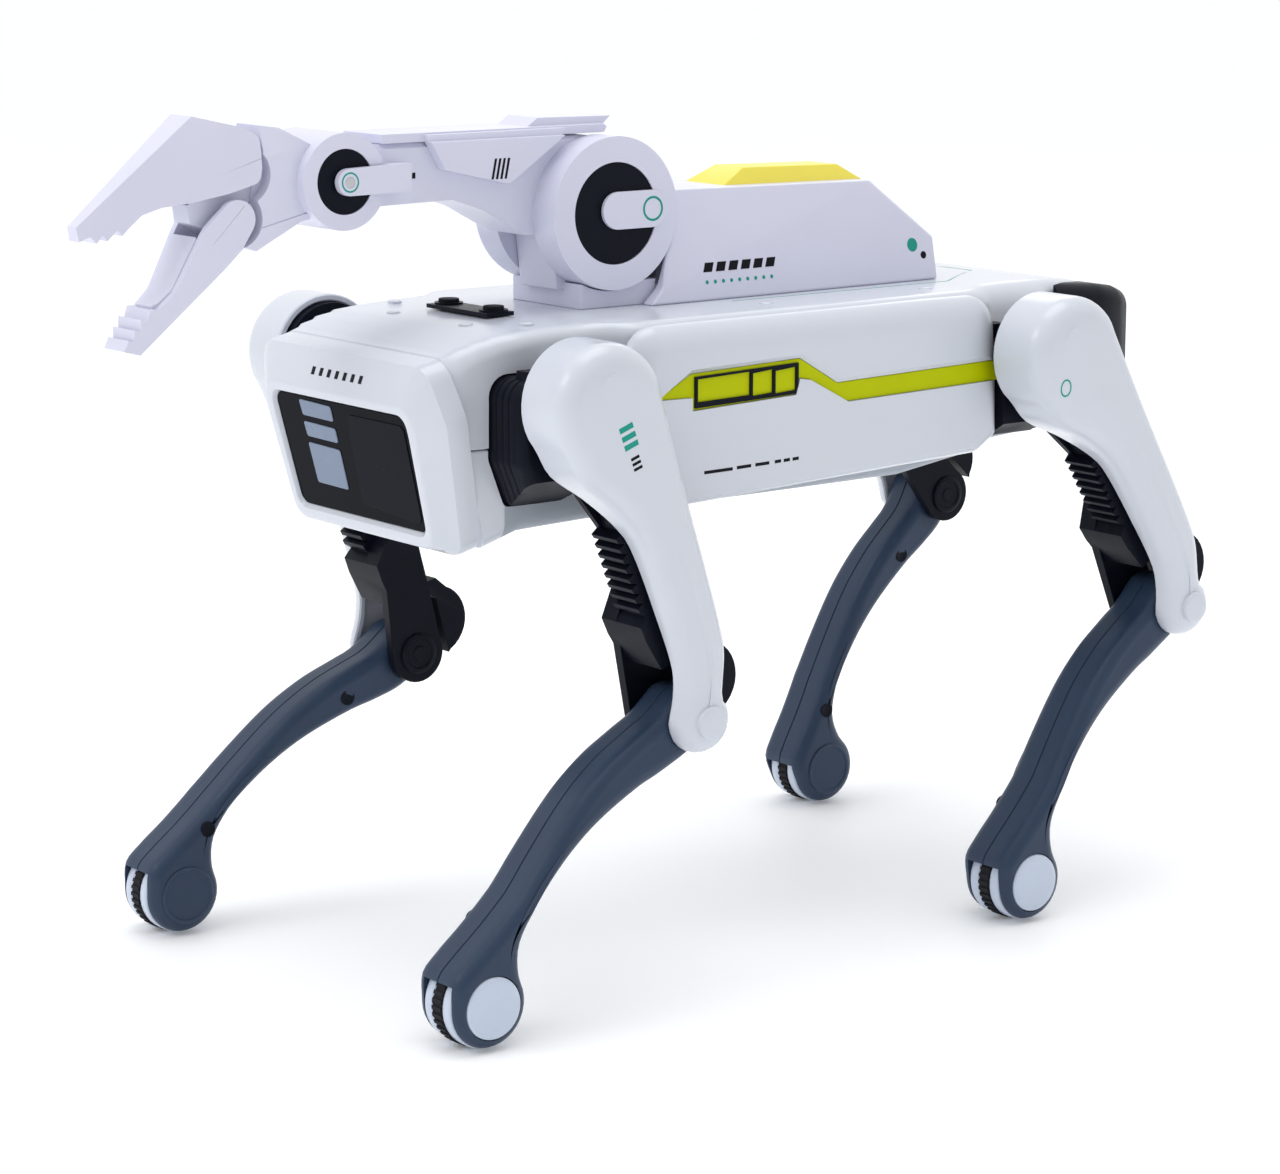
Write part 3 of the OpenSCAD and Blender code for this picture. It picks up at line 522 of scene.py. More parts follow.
def shin(leg, side, knee, lean, length):
    """The two halves of a shin, split down the middle."""
    f = -length
    front = np.vstack([arc((0, 0), 8, 90, 172, 8),
                       [(-8.2, -8), (-10.4, -16), (-13.2, -26), (-14.8, -37), (-15.0, -47), (-14.3, -60),
                        (-13.3, -72), (-13.2, -84), (-13.7, -94), (-13.2, -101)],
                       arc((0, f), FOOT_R, 226, 270, 5)])
    rear = np.vstack([arc((0, 0), 8, 90, 8, 8),
                      [(6.4, -9), (3.0, -18), (-0.6, -26), (-5.2, -40), (-7.4, -52), (-7.9, -64),
                       (-7.0, -73), (-4.6, -80.5), (0.4, -85.6)],
                      arc((0, f), FOOT_R, 62, -90, 14)])
    loop = two_sided(front, rear, 64)
    for half, out in (("inner", -1), ("outer", 1)):
        far = (1 + out) / 2
        stages = [(0.9, lambda z: shin_face(z, 0.5)), (0.45, lambda z: shin_face(z, 0.5) + 0.05 * out),
                  (0.0, lambda z: shin_face(z, 0.5) + 0.35 * out)]
        for t in (0.35, 0.7):
            stages.append((0.0, lambda z, t=t: shin_face(z, 0.5)
                           + t * (shin_face(z, far) - shin_face(z, 0.5) - SHIN_ROLL * out)))
        for d, rise in roll(SHIN_ROLL, 6):
            stages.append((d, lambda z, rise=rise: shin_face(z, far) + (rise - SHIN_ROLL) * out))
        stages.append((SHIN_ROLL + 0.35, lambda z: shin_face(z, far)))
        piece = leg_shell(leg + "_shin_" + half + "_shell", loop, stages, side, knee, lean,
                          leg + "_lower_leg", SLATE, 0.0)
        # room for the axle stub, the wheel and the hub cap, which all turn
        well = lathe("well", [(61.0, 0), (61.0, 2.8), (WELL[0], 2.8), (WELL[0], WELL[2]), (WELL[1], WELL[2]),
                              (WELL[1], 8.75), (82, 8.75), (82, 0)], foot_of[leg], None, SLATE, side=side)
        # the tread shows through a window low at the front
        turns = np.radians(np.linspace(196, 300, 8))
        window = np.vstack([[0, f], np.c_[18 * np.cos(turns), f + 18 * np.sin(turns)]])
        window = placed(np.c_[np.zeros(len(window)), window], side, knee, lean)[:, 1:]
        carve(piece, [well, prism("window", window, *span(side, *WELL[:2]))])
        stand_for(piece, leg + "_shin_" + half)


def wheel(leg, side, foot):
    """Two pale rims with rounded shoulders, and the hub cap that shows in the outer cheek."""
    r = foot[2] - 0.35
    rim = 0.7
    profile = [(61.2, 0), (61.2, 2.5), (63.9, 2.5), (64, 6), (64, r - rim), (64.2, r - 0.2), (64.7, r),
               (67.2, r), (67.7, r - 0.2), (67.9, r - rim), (67.9, 8.9), (72.1, 8.9), (72.1, r - rim),
               (72.3, r - 0.2), (72.8, r), (75.3, r), (75.8, r - 0.2), (76, r - rim), (76, 8.5),
               (78.9, 8.5), (79.5, 8.3), (79.8, 7.7), (79.92, 6.4), (80, 3.2), (80, 0)]
    # rims and hub take the white plastic's shade painted in as a pale blue-grey
    piece = lathe(leg + "_wheel_rims", profile, foot, leg + "_foot", WHEEL_SHADE_BLUE, side=side, angle=50)
    stand_for(piece, leg + "_wheel")


foot_of = {}
for leg in LEGS:
    hip, knee, foot = (JOINTS[leg + tail] for tail in ("_hip", "_knee", "_wheel_spin"))
    foot_of[leg] = foot
    side = 1 if hip[0] > 0 else -1
    thigh_lean = math.atan2(knee[1] - hip[1], hip[2] - knee[2])
    shin_lean = math.atan2(foot[1] - knee[1], knee[2] - foot[2])
    thigh_len = math.hypot(knee[1] - hip[1], knee[2] - hip[2])
    shin_len = math.hypot(foot[1] - knee[1], foot[2] - knee[2])
    thigh_cover(leg, side, hip, thigh_lean, thigh_len)
    shin(leg, side, knee, shin_lean, shin_len)
    wheel(leg, side, foot)
    soften(leg + "_thigh_frame", 0.35, BLACK)
    cap_x = cover_face(-thigh_len)
    line = [(70, 0), (70, 2.4), (cap_x - 0.5, 2.4), (cap_x - 0.5, 4.6), (79, 4.6), (79.35, 4.5),
            (79.6, 4.2), (79.72, 3.7), (79.8, 2), (79.8, 0)]
    cap = lathe(leg + "_knee_pin_cap", line, knee, leg + "_upper_leg", WHITE, side=side, angle=60)
    stand_for(cap, leg + "_knee_pin")
    line = [(69, 0), (69, 2.4), (51, 2.4), (51, 6), (50.3, 6), (50.05, 5.7), (50.05, 4.6), (50.45, 4.3),
            (50.45, 2.3), (50.1, 2), (50.1, 0)]
    boss = lathe(leg + "_knee_pin_inner", line, knee, leg + "_upper_leg", BLACK, side=side, angle=40)
    soften(leg + "_tyre", 0.08, RUBBER, segments=1)
    # leg trim: domed pin caps, the inner foot disc and two screws on the inner shin
    body = leg + "_lower_leg"
    line = [(60.6, 0), (60.6, 8.4), (59.9, 8.4), (59.7, 8.2), (59.7, 7.4), (60, 7.1), (60, 0)]
    lathe(leg + "_foot_inner_disc", line, foot, body, SLATE, side=side)
    for d, n in ((24.0, -5.5), (80.5, -9.4)):
        spot = placed([(0, n, -d)], side, knee, shin_lean)[0]
        x = shin_face(-d, 0)
        line = [(x + 1, 0), (x + 1, 2.3), (x - 0.12, 2.3), (x - 0.12, 1.9), (x - 0.05, 1.7), (x - 0.05, 0)]
        lathe(leg + "_shin_screw_%d" % d, line, spot, body, BLACK, side=side)

# ------------ body shells
FACE_Y = -84.7
FACE_Z = 145.0
FACE_LEAN = math.radians(13.5)
SPLIT_Z = 152.0
SCREW_R, SCREW_WELL_R, SCREW_SEAT = 2.6, 3.0, 142.2
DOOR_GAP = 0.4
HEAD_END = -74.4        # where the head's white shell meets the belly's rear part, whose grey is the white shell's shade painted in
HIP_Y = (JOINTS["front_left_hip"][1], JOINTS["rear_left_hip"][1])


def leaned(y, z, share):
    """Y of a section point when the section leans with the face by a share."""
    return y - share * (z - FACE_Z) * math.tan(FACE_LEAN)


def section(y, w, top, low, r_top, r_low, share=0.0):
    """A cross-section ring: half width, top and bottom heights, and their corner radii."""
    loop = rounded([(w, low, r_low), (w, top, r_top), (-w, top, r_top), (-w, low, r_low)], 7)
    return np.c_[loop[:, 0], [leaned(y, z, share) for z in loop[:, 1]], loop[:, 1]]


def node_box(node):
    """Lowest and highest corner of a CAD node in millimetres."""
    low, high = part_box(node)
    return np.array(low) / MM, np.array(high) / MM


def gear_outline(y, room=0.0):
    """A gearbox seen from the side: rounded on top, its foot narrower; room widens it all round."""
    wide, foot = 14 + room, 9 + room
    sole = (136.3 if y < 0 else 140.0) - room
    return rounded([(y - foot, sole, 2), (y + foot, sole, 2), (y + wide, 149, 5),
                    (y + wide, 171.2 + room, 6), (y - wide, 171.2 + room, 6), (y - wide, 149, 5)])


def hip_cutters():
    """Openings in the body sides for the four gearboxes."""
    return [prism("hole", gear_outline(y, 0.5), *span(side, 28, 62)) for y in HIP_Y for side in (-1, 1)]


# stations of the white top: y, half width, height, edge radius, lean with the face
TOP = [(-84.7, 40.9, 176, 6, 1), (-83.9, 41, 176.9, 6, 1), (-81, 41.3, 177.7, 5.5, 0.95),
       (-80.3, 41.4, 178.5, 5.5, 0.9), (-76.9, 41.6, 179.3, 5.2, 0.8), (-76.2, 41.7, 180.1, 5.2, 0.75),
       (-72.4, 41.8, 180.8, 5, 0.6), (-71.7, 41.9, 181.4, 5, 0.55), (-66, 42, 182.1, 4.5, 0.2),
       (-58, 42, 182.6, 4.2, 0), (-48, 42.2, 182.9, 4.2, 0),
       (-44, 43.4, 183, 4.2, 0), (-41, 45.8, 183, 4.2, 0), (-38.5, 48.6, 183, 4.2, 0),
       (-35, 50, 183, 4.2, 0), (20, 50, 183, 5, 0), (86, 50, 183, 5, 0),
       (91, 48.8, 183, 6, 0), (96, 45.4, 183, 7, 0), (101, 43, 183, 8, 0),
       (110, 42.2, 183, 8, 0), (122, 41, 182.8, 8, 0), (130, 38.4, 182.3, 7, 0),
       (138, 35, 181.4, 6, 0), (146, 31.2, 180.4, 5, 0), (153, 27, 179.2, 5, 0),
       (158.5, 22, 178, 4.5, 0), (161.6, 17, 177, 4, 0), (162.8, 12.5, 176.2, 3.5, 0)]
top = loft("top_cover_shell", [section(y, w, z, SPLIT_Z, r, 0.6, lean) for y, w, z, r, lean in TOP],
           None, WHITE)
carve(top, hip_cutters())
stand_for(top, "top_cover", "torso")

BELLY = [(-84.7, 40.4, 124.6, 4, 1), (-78, 41.2, 126.4, 4.5, 0.8), (-70, 41.8, 128.2, 5, 0.3),
         (-58, 42, 128.6, 5, 0), (-44, 43, 129.2, 5, 0), (-38, 48, 130.4, 4, 0),
         (-33, 50, 131.4, 4, 0), (60, 50, 131.6, 4, 0), (88, 50, 135.4, 4, 0),
         (96, 45.4, 136.2, 5, 0), (104, 42.4, 136.6, 6, 0), (122, 40.6, 137.4, 6, 0),
         (140, 35, 138.4, 6, 0), (151, 28, 140, 5, 0), (158, 22, 143, 4, 0),
         (162, 16, 146.5, 3, 0)]
# one white belly shell: behind HEAD_END its shade is painted in as grey, the part in front stays plain white
belly = loft("belly_shell_skin", [section(y, w, SPLIT_Z - 0.35, z, 0.6, r, lean)
                                  for y, w, z, r, lean in BELLY], None, BELLY_SHADE_GREY)
carve(belly, hip_cutters())
belly_front = put_in(belly.copy())
belly_front.data = belly.data.copy()
belly_front.name = "belly_front_skin"
belly_front.data.materials[0] = WHITE
carve(belly_front, [half_space((0, HEAD_END, 140), (0, 1, 0), 300)])
carve(belly, [half_space((0, HEAD_END, 140), (0, -1, 0), 300)])
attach(belly_front, "torso")
stand_for(belly, "belly_shell", "torso")

# a fine gap round the battery door, and round wells for the case screws
door_low, door_high = node_box("battery_door")
(x0, y0), (x1, y1) = door_low[:2] - DOOR_GAP, door_high[:2] + DOOR_GAP
door_room = [(x0, y0), (x1, y0), (x1, y1), (x0, y1)]
wells = [prism("door", door_room, 120, door_high[2], axis="Z")]
low, high = node_box("case_screws")
for x in (low[0] + SCREW_R, high[0] - SCREW_R):
    for y in (low[1] + SCREW_R, high[1] - SCREW_R):
        wells.append(prism("screw_well", circle(x, y, SCREW_WELL_R, count=32), 120, SCREW_SEAT, axis="Z"))
carve(belly, wells)

# bumper round the tail, with the outline of the white tongue taken out of it
BUMPER = [(128, 42, 181.6, 137.6), (146, 41.6, 180.2, 138.4), (156, 39.6, 178.6, 140.4),
          (162, 36.6, 176.8, 143.4), (165, 33, 174.8, 146.8), (166, 30, 173.2, 149)]
bumper = loft("rear_bumper_shell", [section(y, w, z, low, 5, 5) for y, w, z, low in BUMPER], None, BLACK)
tongue = [(w + 0.5, y) for y, w, z, r, lean in TOP if y > 120]
tongue = [(tongue[0][0], 118)] + tongue + [(tongue[-1][0] - 4, 163.6)]
carve(bumper, [prism("tongue", mirrored(tongue), 120, 200, axis="Z")])
stand_for(bumper, "rear_bumper", "torso")


# ------------ face
def on_face(points):
    """Points in the face's own frame (front is -Y) put on the head."""
    p = np.array(points, float)
    c, s = math.cos(FACE_LEAN), math.sin(FACE_LEAN)
    return np.c_[p[:, 0], FACE_Y + p[:, 1] * c - p[:, 2] * s, FACE_Z + p[:, 1] * s + p[:, 2] * c]


RIM = rounded(mirrored([(38.4, -21.4, 6), (44.8, 16.8, 9), (40.3, 32.4, 7)]), 8)
MID = rounded(mirrored([(37.2, -20, 6), (43.2, 16.6, 9), (39.2, 30.6, 7)]), 8)
BROW = rounded(mirrored([(33.6, -17.2, 4.5), (36.6, 15.5, 6), (35, 22.2, 5)]), 8)
LIP = rounded(mirrored([(31.9, -14.9, 4), (33.6, 14, 5), (33.3, 20.2, 4)]), 8)
SCREEN = rounded(mirrored([(31.1, -13.7, 3.2), (32.3, 12, 5), (32.5, 19.1, 3.2)]), 8)
bezel_rings = []
for loop, d, y in ((RIM, 2.2, 1.2), (RIM, 0.5, 0.4), (RIM, 0, 0.0), (RIM, 0, -2.5), (RIM, 0, -5.4),
                   (RIM, 0.25, -6.5), (MID, -0.2, -7.5), (MID, 0.7, -8.25), (BROW, -0.9, -11.55),
                   (BROW, -0.3, -11.9), (BROW, 0.35, -12.0), (LIP, -0.3, -12.0), (LIP, 0.1, -11.9),
                   (LIP, 0.35, -11.6), (SCREEN, -0.05, -10.4), (SCREEN, 0.0, -9.6), (SCREEN, 0.0, 1.2)):
    flat = inset(loop, d)
    bezel_rings.append(on_face(np.c_[flat[:, 0], np.full(len(flat), y), flat[:, 1]]))
# the last ring is joined to the first, which closes the frame
bezel = make("face_bezel_frame", *bridge(bezel_rings + bezel_rings[:1]), "torso", WHITE, angle=30)
stand_for(bezel, "face_bezel")


def face_plate(name, outline, front, back, material, fillet=0.0):
    """A flat piece in the face's frame."""
    piece = prism(name, outline, front, back, axis="Y", fillet=fillet, material=material)
    coords = np.array([v.co for v in piece.data.vertices]) / MM
    for v, p in zip(piece.data.vertices, on_face(coords)):
        v.co = p * MM
    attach(piece, "torso")
    return piece


screen = face_plate("screen_glass", SCREEN, -10.9, -9.7, GLASS)
stand_for(screen, "face_screen")
outline = rounded([(29.6, -11.4, 2), (30.4, 16.6, 2), (3, 16.6, 2), (1.5, -9.4, 2)])
face_plate("screen_side_pane", outline, -11.15, -10.85, PANE, 0.12)
for name, z0, z1 in (("top", 13.4, 17.8), ("middle", 7.2, 11.4), ("low", -6.4, 5.2)):
    outline = rounded([(-4.6, z0, 0.8), (-4.6, z1, 0.8), (-20.4, z1 + 0.4, 0.8), (-19.9, z0 + 0.2, 0.8)])
    face_plate("screen_tile_" + name, outline, -11.2, -10.85, TILE, 0.12)

# ------------ side panels
PANEL_X = 56.0
ACCENT = [(-34, 162.4), (-22, 168.6), (16.5, 169.8), (30.2, 161.8), (96, 163.4), (96, 157.6), (33.8, 156.3),
          (20, 163.6), (16, 164.3), (14.6, 159.9), (-22, 158.6), (-22, 162.2)]
PANEL = rounded([(-42, 131.4, 3), (84, 136.2, 5), (92, 141.2, 3), (92.8, 160, 30), (91.6, 182.2, 10),
                 (60, 182.4, 20), (-42, 182.2, 10)], 7)
PANEL_ROLL = 5.6
SIDES = ((1, "left"), (-1, "right"))
for side, word in SIDES:
    # the rim rolls over further along the top edge than along the foot
    reach = np.interp(PANEL[:, 1], [140, 172], [2.6, 8.5])
    rings = [at_x(PANEL, 0.5, side * 50.1), at_x(PANEL, 0, side * 50.5)]
    rings += [at_x(PANEL, reach * d, side * (PANEL_X + PANEL_ROLL * (out - 1))) for d, out in roll(1, 9)]
    rings.append(at_x(PANEL, reach + 0.4, side * PANEL_X))
    panel = loft(word + "_side_panel_shell", rings, None, WHITE)
    # the strip's channel opens wider towards the face, most along its upper edge
    above = np.array([-0.1] + [-1.3] * 4 + [-0.1] * 7)
    rings = [at_x(np.array(ACCENT), above * share, side * (PANEL_X + out))
             for share, out in ((0, -1.9), (0.1, -0.9), (1, 0), (2, 1.0))]
    carve(panel, [loft("channel", rings, None, WHITE)], angle=30)
    stand_for(panel, word + "_side_panel", "torso")
soften("window_frames", 0.1, BLACK, segments=2, whole=False)

# ------------ gearboxes
GEAR_OUT, GEAR_ROLL, SPINDLE_OUT, SPINDLE_R = 56.0, 3.0, 69.5, 4.0
PANEL_ROOM = (49.3, 93.4)  # X and Y where the side panel's inner face and rear end lie
gears = []
for leg in LEGS:
    hip = JOINTS[leg + "_hip"]
    side = 1 if hip[0] > 0 else -1
    loop = gear_outline(hip[1])
    # shallow grooves run round the box, then the outer edge rolls over
    stages = [(0.4, 30.0), (0.0, 30.4)]
    for x in (44.0, 46.8, 49.6):
        stages += [(0.0, x), (0.4, x + 0.3), (0.4, x + 0.6), (0.0, x + 0.9)]
    stages += [(d, GEAR_OUT - GEAR_ROLL + out) for d, out in roll(GEAR_ROLL, 6)]
    gear = loft(leg + "_gearbox", [at_x(loop, d, side * x) for d, x in stages], None, BLACK)
    cuts = [half_space((side * 43.0, 0, 136.2), (side * 8.0, 0, -13.0), 160)]
    if hip[1] > 0:
        room = [(PANEL_ROOM[0], 40), (60, 40), (60, PANEL_ROOM[1]), (PANEL_ROOM[0], PANEL_ROOM[1])]
        cuts.append(prism("room", [(side * x, y) for x, y in room], 120, 190, axis="Z"))
    carve(gear, cuts)
    tab = [(hip[1] - 9.5, 170.4), (hip[1] - 9.2, 173.2), (hip[1] - 4.8, 173.2), (hip[1] - 4.2, 170.4)]
    spindle = lathe("spindle", [(50, 0), (50, 8.4), (57.0, 8.4), (57.0, SPINDLE_R), (SPINDLE_OUT, SPINDLE_R),
                                (SPINDLE_OUT, 0)], hip, None, BLACK, side=side)
    carve(gear, [spindle, prism("tab", tab, *span(side, 47.0, 52.0))], "UNION")
    gears.append(gear)
hips = gears.pop(0)
carve(hips, gears, "UNION")
hips.name = "hip_gearboxes_shell"
round_edges(hips, 0.35, segments=2, whole=False)
stand_for(hips, "hip_gearboxes", "torso")

# ------------ CAD nodes that stay
KEPT = (
    ("accent_strips", 0.25, LIME), ("button_plate", 0.35, BLACK), ("left_button", 0.45, RUBBER),
    ("right_button", 0.45, RUBBER), ("arm_pedestal", 0.6, LILAC), ("battery_door", 0.3, BELLY_SHADE_GREY),
    ("battery_pack", 1.5, WRAP), ("circuit_board", 0.2, BOARD), ("power_switch", 0.25, BLACK),
    ("case_screws", 0.2, STEEL), ("upper_arm_shell", 0.55, LILAC), ("upper_arm_cover", 0.5, LILAC),
    ("shoulder_discs", 0.15, BLACK), ("shoulder_links", 0.35, LILAC), ("shoulder_pin", 0.2, STEEL),
    ("wrist_pin", 0.15, STEEL), ("wrist_discs", 0.12, BLACK))
for node, width, material in KEPT:
    soften(node, width, material)

# ------------ backpack
DECK_Z = 183.0


def pack_side(y, z, upper):
    """Half width of the backpack on its lower facet, or on the upper one in front of the diagonal crease."""
    if upper:
        return 21.0 + 0.0034 * (y + 5) - 0.264 * (z - 187.5)
    return 22.0 - 0.0183 * (y + 10) - 0.196 * (z - DECK_Z)


# corners of one side: y, z, and whether the upper facet sets the width
PACK = [(-10, DECK_Z, False), (99.5, DECK_Z, False), (99.5, 195.6, False), (77, 213.2, False),
        (5, 214.3, True), (0.5, 204, True), (-5, 187.5, True)]
near = [(pack_side(y, z, upper), y, z) for y, z, upper in PACK]
far = [(-x, y, z) for x, y, z in near]
n = len(near)
sides = [(i, (i + 1) % n, n + (i + 1) % n, n + i) for i in range(n)]
facets = [(0, 1, 2, 3, 6), (6, 3, 4, 5)]
faces = sides + facets + [tuple(n + i for i in reversed(f)) for f in facets]
backpack = make("backpack_shell_skin", near + far, faces, None, LILAC, angle=1)
drum = lathe("drum", [(-20.7, 0), (-20.7, 21.9), (20.7, 21.9), (20.7, 0)], JOINTS["shoulder"], None, LILAC)
socket = prism("socket", [(-17, -40), (17, -40), (17, -2), (-17, -2)], 170, 200, axis="Z")
carve(backpack, [drum, socket], angle=1)
round_edges(backpack, 0.9, angle=20, whole=False)
stand_for(backpack, "backpack_shell", "torso")

# the strip's levels: half width, front, back, and height at the front, 0.8 lower at the back
strip = loft("backpack_strip_rail", [[(w, y0, z), (w, y1, z - 0.8), (-w, y1, z - 0.8), (-w, y0, z)]
                                     for w, y0, y1, z in ((8.8, 26, 78.4, 213.3), (9.0, 26, 78.4, 213.9),
                                                          (6.4, 35.2, 71.04, 218.5))], None, YELLOW)
round_edges(strip, 0.7, whole=False)
stand_for(strip, "backpack_strip", "torso")

# ------------ head and jaws
wrist, jaw, upper_hinge = (JOINTS[name] for name in ("wrist", "lower_jaw_hinge", "upper_jaw_hinge"))


def across(name, outline, half):
    """A block with an outline in Y and Z and the same half width on both sides."""
    return prism(name, outline, -half, half, material=LILAC)


def x_disc(lo, hi, radius, centre):
    """A plain disc about X, for cutting and joining."""
    return lathe("disc", [(lo, 0), (lo, radius), (hi, radius), (hi, 0)], centre, None, LILAC, count=72)


outline = [(-104, 229), (-112, 231.6), (-121, 236.6), (-126.6, 237.4), (-126.8, 231), (-130, 213),
           (-134, 206.4), (-130, 205), (-116, 212), (-104, 214)]
head = across("head_base_block", outline, 8.8)
# chamfers along the top of the block
carve(head, both(lambda side: half_space((side * 8.8, -122.5, 230.1), (side * 0.93, -0.1, 0.38))))
outline = [(-124, 232), (-136, 231.6), (-144, 227), (-144, 220), (-147.6, 217.6), (-147, 212.8),
           (-143.6, 211.6), (-140.5, 209), (-134, 206.4), (-124, 210)]
carve(head, [across("tongue", outline, 4), x_disc(-12.5, 12.5, 12.9, wrist)], "UNION")
recesses = []
for depth, radius, centre in ((11.5, 8.7, wrist), (4.5, 7.6, jaw), (4.5, 7.8, upper_hinge)):
    recesses += both(lambda side: x_disc(*span(side, depth, 20), radius, centre))
# the moulding seam low on the block
seam = [(-112, 214.9), (-134, 209.8), (-134, 209.5), (-112, 214.6)]
recesses += both(lambda side: prism("seam", seam, *span(side, 8.5, 9.5)))
carve(head, recesses + [x_disc(-20, 20, 1.55, wrist)])
round_edges(head, 0.45, whole=False, angle=24)
stand_for(head, "head_base", "arm_head")

PLAN = mirrored([(9.2, -118), (9.2, -140), (3.4, -181)])


def jaw_block(name, outline, thinner=0.0):
    block = across(name, outline, 12)
    plan = [(x - math.copysign(thinner, x), y) for x, y in PLAN]
    return carve(block, [prism("plan", plan, 150, 260, axis="Z")], "INTERSECT")


def cheek(side, inwards=0.0):
    """The half space outside one side facet of the upper jaw: from the tip, the fold's end and the ridge."""
    tip, fold, ridge = np.array([(2.4, -178.6, 213.0), (9.2, -127.8, 229.9), (5.3, -146.5, 240.5)])
    normal = np.cross(fold - tip, ridge - tip)
    normal *= math.copysign(1, normal[0]) / np.linalg.norm(normal)
    spot = tip - normal * inwards
    return half_space(spot * (side, 1, 1), normal * (side, 1, 1))


upper = jaw_block("upper_jaw_beak", np.vstack([
    [(-179.2, 213.6), (-146.5, 240.5), (-133, 237.3)], arc((-131.6, 232.8), 3.4, 62, 6, 4),
    [(-127.9, 226.5)], arc((-131.2, 225.2), 3.0, 0, -60, 4),
    [(-137.4, 220.4), (-148, 218.4), (-156, 217.6), (-161.5, 215.9), (-165.2, 212.8), (-167.1, 210.9),
     (-168.3, 212.4), (-171.1, 209.8), (-172.2, 211.4), (-174.0, 209.3), (-175.6, 211.0), (-178.6, 209.9)]]))
carve(upper, both(cheek))
hollow = jaw_block("hollow", [(-166, 217.4), (-146, 236.5), (-133, 234), (-120, 234), (-120, 214),
                              (-150, 212), (-160, 213)], 2.4)
carve(hollow, both(lambda side: cheek(side, 1.8)))
carve(upper, [hollow])
# the shallow seam under the side facets
fold_line = [(-128, 229.3), (-178.8, 212.5), (-178.8, 212.2), (-128, 229.0)]
hair = [loft("hair", [[(side * (9.45 - 5.9 * (-128 - y) / 50.8 - d), y, z) for y, z in fold_line]
                      for d in (0.45, -0.6)], None, LILAC) for side in (-1, 1)]
carve(upper, hair)
round_edges(upper, 0.35, whole=False, angle=20)
stand_for(upper, "upper_jaw", "jaw_top")

lower = jaw_block("lower_jaw_scoop", np.vstack([
    arc((jaw[1], jaw[2]), 5.2, 128, -38, 14),
    [(-134.4, 205.8), (-163.6, 180.0), (-168.0, 181.2), (-166.6, 184.0), (-165.2, 183.6), (-165.0, 186.6),
     (-163.4, 186.2), (-163.2, 189.2), (-161.4, 188.8), (-160.4, 191.6), (-158.2, 191.6), (-153.7, 195.6),
     (-151.6, 199.2), (-149.2, 203.6), (-145.6, 210.2), (-144.4, 212.0)]]))
trough = jaw_block("trough", [(-120, 226), (-120, 208.6), (-134.6, 208.6), (-157.0, 188.4), (-159.4, 192.6),
                              (-150, 226)], 2.2)
tongue_room = across("room", [(-120, 225), (-120, 200), (-134.6, 203), (-142.5, 207.4), (-149, 218),
                              (-149, 225)], 4.8)
carve(lower, [trough, tongue_room])
side_seam = [(-133.2, 217.4), (-144.7, 205.9), (-144.9, 205.6), (-133.6, 216.9)]
carve(lower, both(lambda side: prism("seam", side_seam, *span(side, 8.75, 10))))
round_edges(lower, 0.35, whole=False, angle=24)
stand_for(lower, "lower_jaw", "jaw_bottom")
liner = jaw_block("lower_jaw_liner", [(-146.4, 209.6), (-150.2, 202.6), (-153.6, 196.2), (-157.2, 193.2),
                                      (-159.2, 192.4), (-157.6, 187.6), (-148, 197), (-143.6, 204.4)], 2.35)
round_edges(liner, 0.3, whole=False)
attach(liner, "jaw_bottom")
PIN = [(-8.4, 0), (-8.4, 1.5), (8.4, 1.5), (8.4, 0)]
stand_for(lathe("upper_jaw_pin", PIN, upper_hinge, "arm_head", STEEL, count=32), "jaw_pins")
lathe("lower_jaw_pin", PIN, jaw, "arm_head", STEEL, count=32)

# ------------ printed marks, all generic
objects = bpy.data.objects


def on_side(name, target, outline, x, side, body, material, hole=None):
    """A mark printed from one side on to a target, its outline in Y and Z at rest."""
    printed(name, target, on_x(outline, side * x), (-side, 0, 0), body, material,
            None if hole is None else on_x(hole, side * x))


# stacked bars down the front thighs, and a ring on the rear ones
for leg in LEGS:
    hip, knee = JOINTS[leg + "_hip"], JOINTS[leg + "_knee"]
    down = (knee - hip)[1:] / np.linalg.norm((knee - hip)[1:])
    across_leg = np.array([-down[1], down[0]])
    place = (79.5, 1 if leg.endswith("left") else -1, leg + "_upper_leg")
    cover = objects[leg + "_thigh_cover_shell"]
    if leg.startswith("front"):
        for i, (at, wide, tall, ink) in enumerate(((4.4, 2.3, 1.5, TEAL), (6.9, 2.3, 1.5, TEAL),
                                                   (9.4, 2.3, 1.5, TEAL), (13.4, 1.4, 0.8, INK),
                                                   (14.9, 1.4, 0.8, INK), (16.4, 1.4, 0.8, INK))):
            spot = hip[1:] + down * at + across_leg * 0.4
            mark = [spot + down * d + across_leg * a
                    for a, d in ((-wide, 0), (wide, 0), (wide, tall), (-wide, tall))]
            on_side(leg + "_bar_%d" % (i + 1), cover, mark, *place, ink)
    else:
        spot = hip[1:] + down * 3.4 + across_leg * -10.0
        on_side(leg + "_ring", cover, circle(*spot, 2.0, 1.3), *place, TEAL, circle(*spot, 1.55, 1.35))

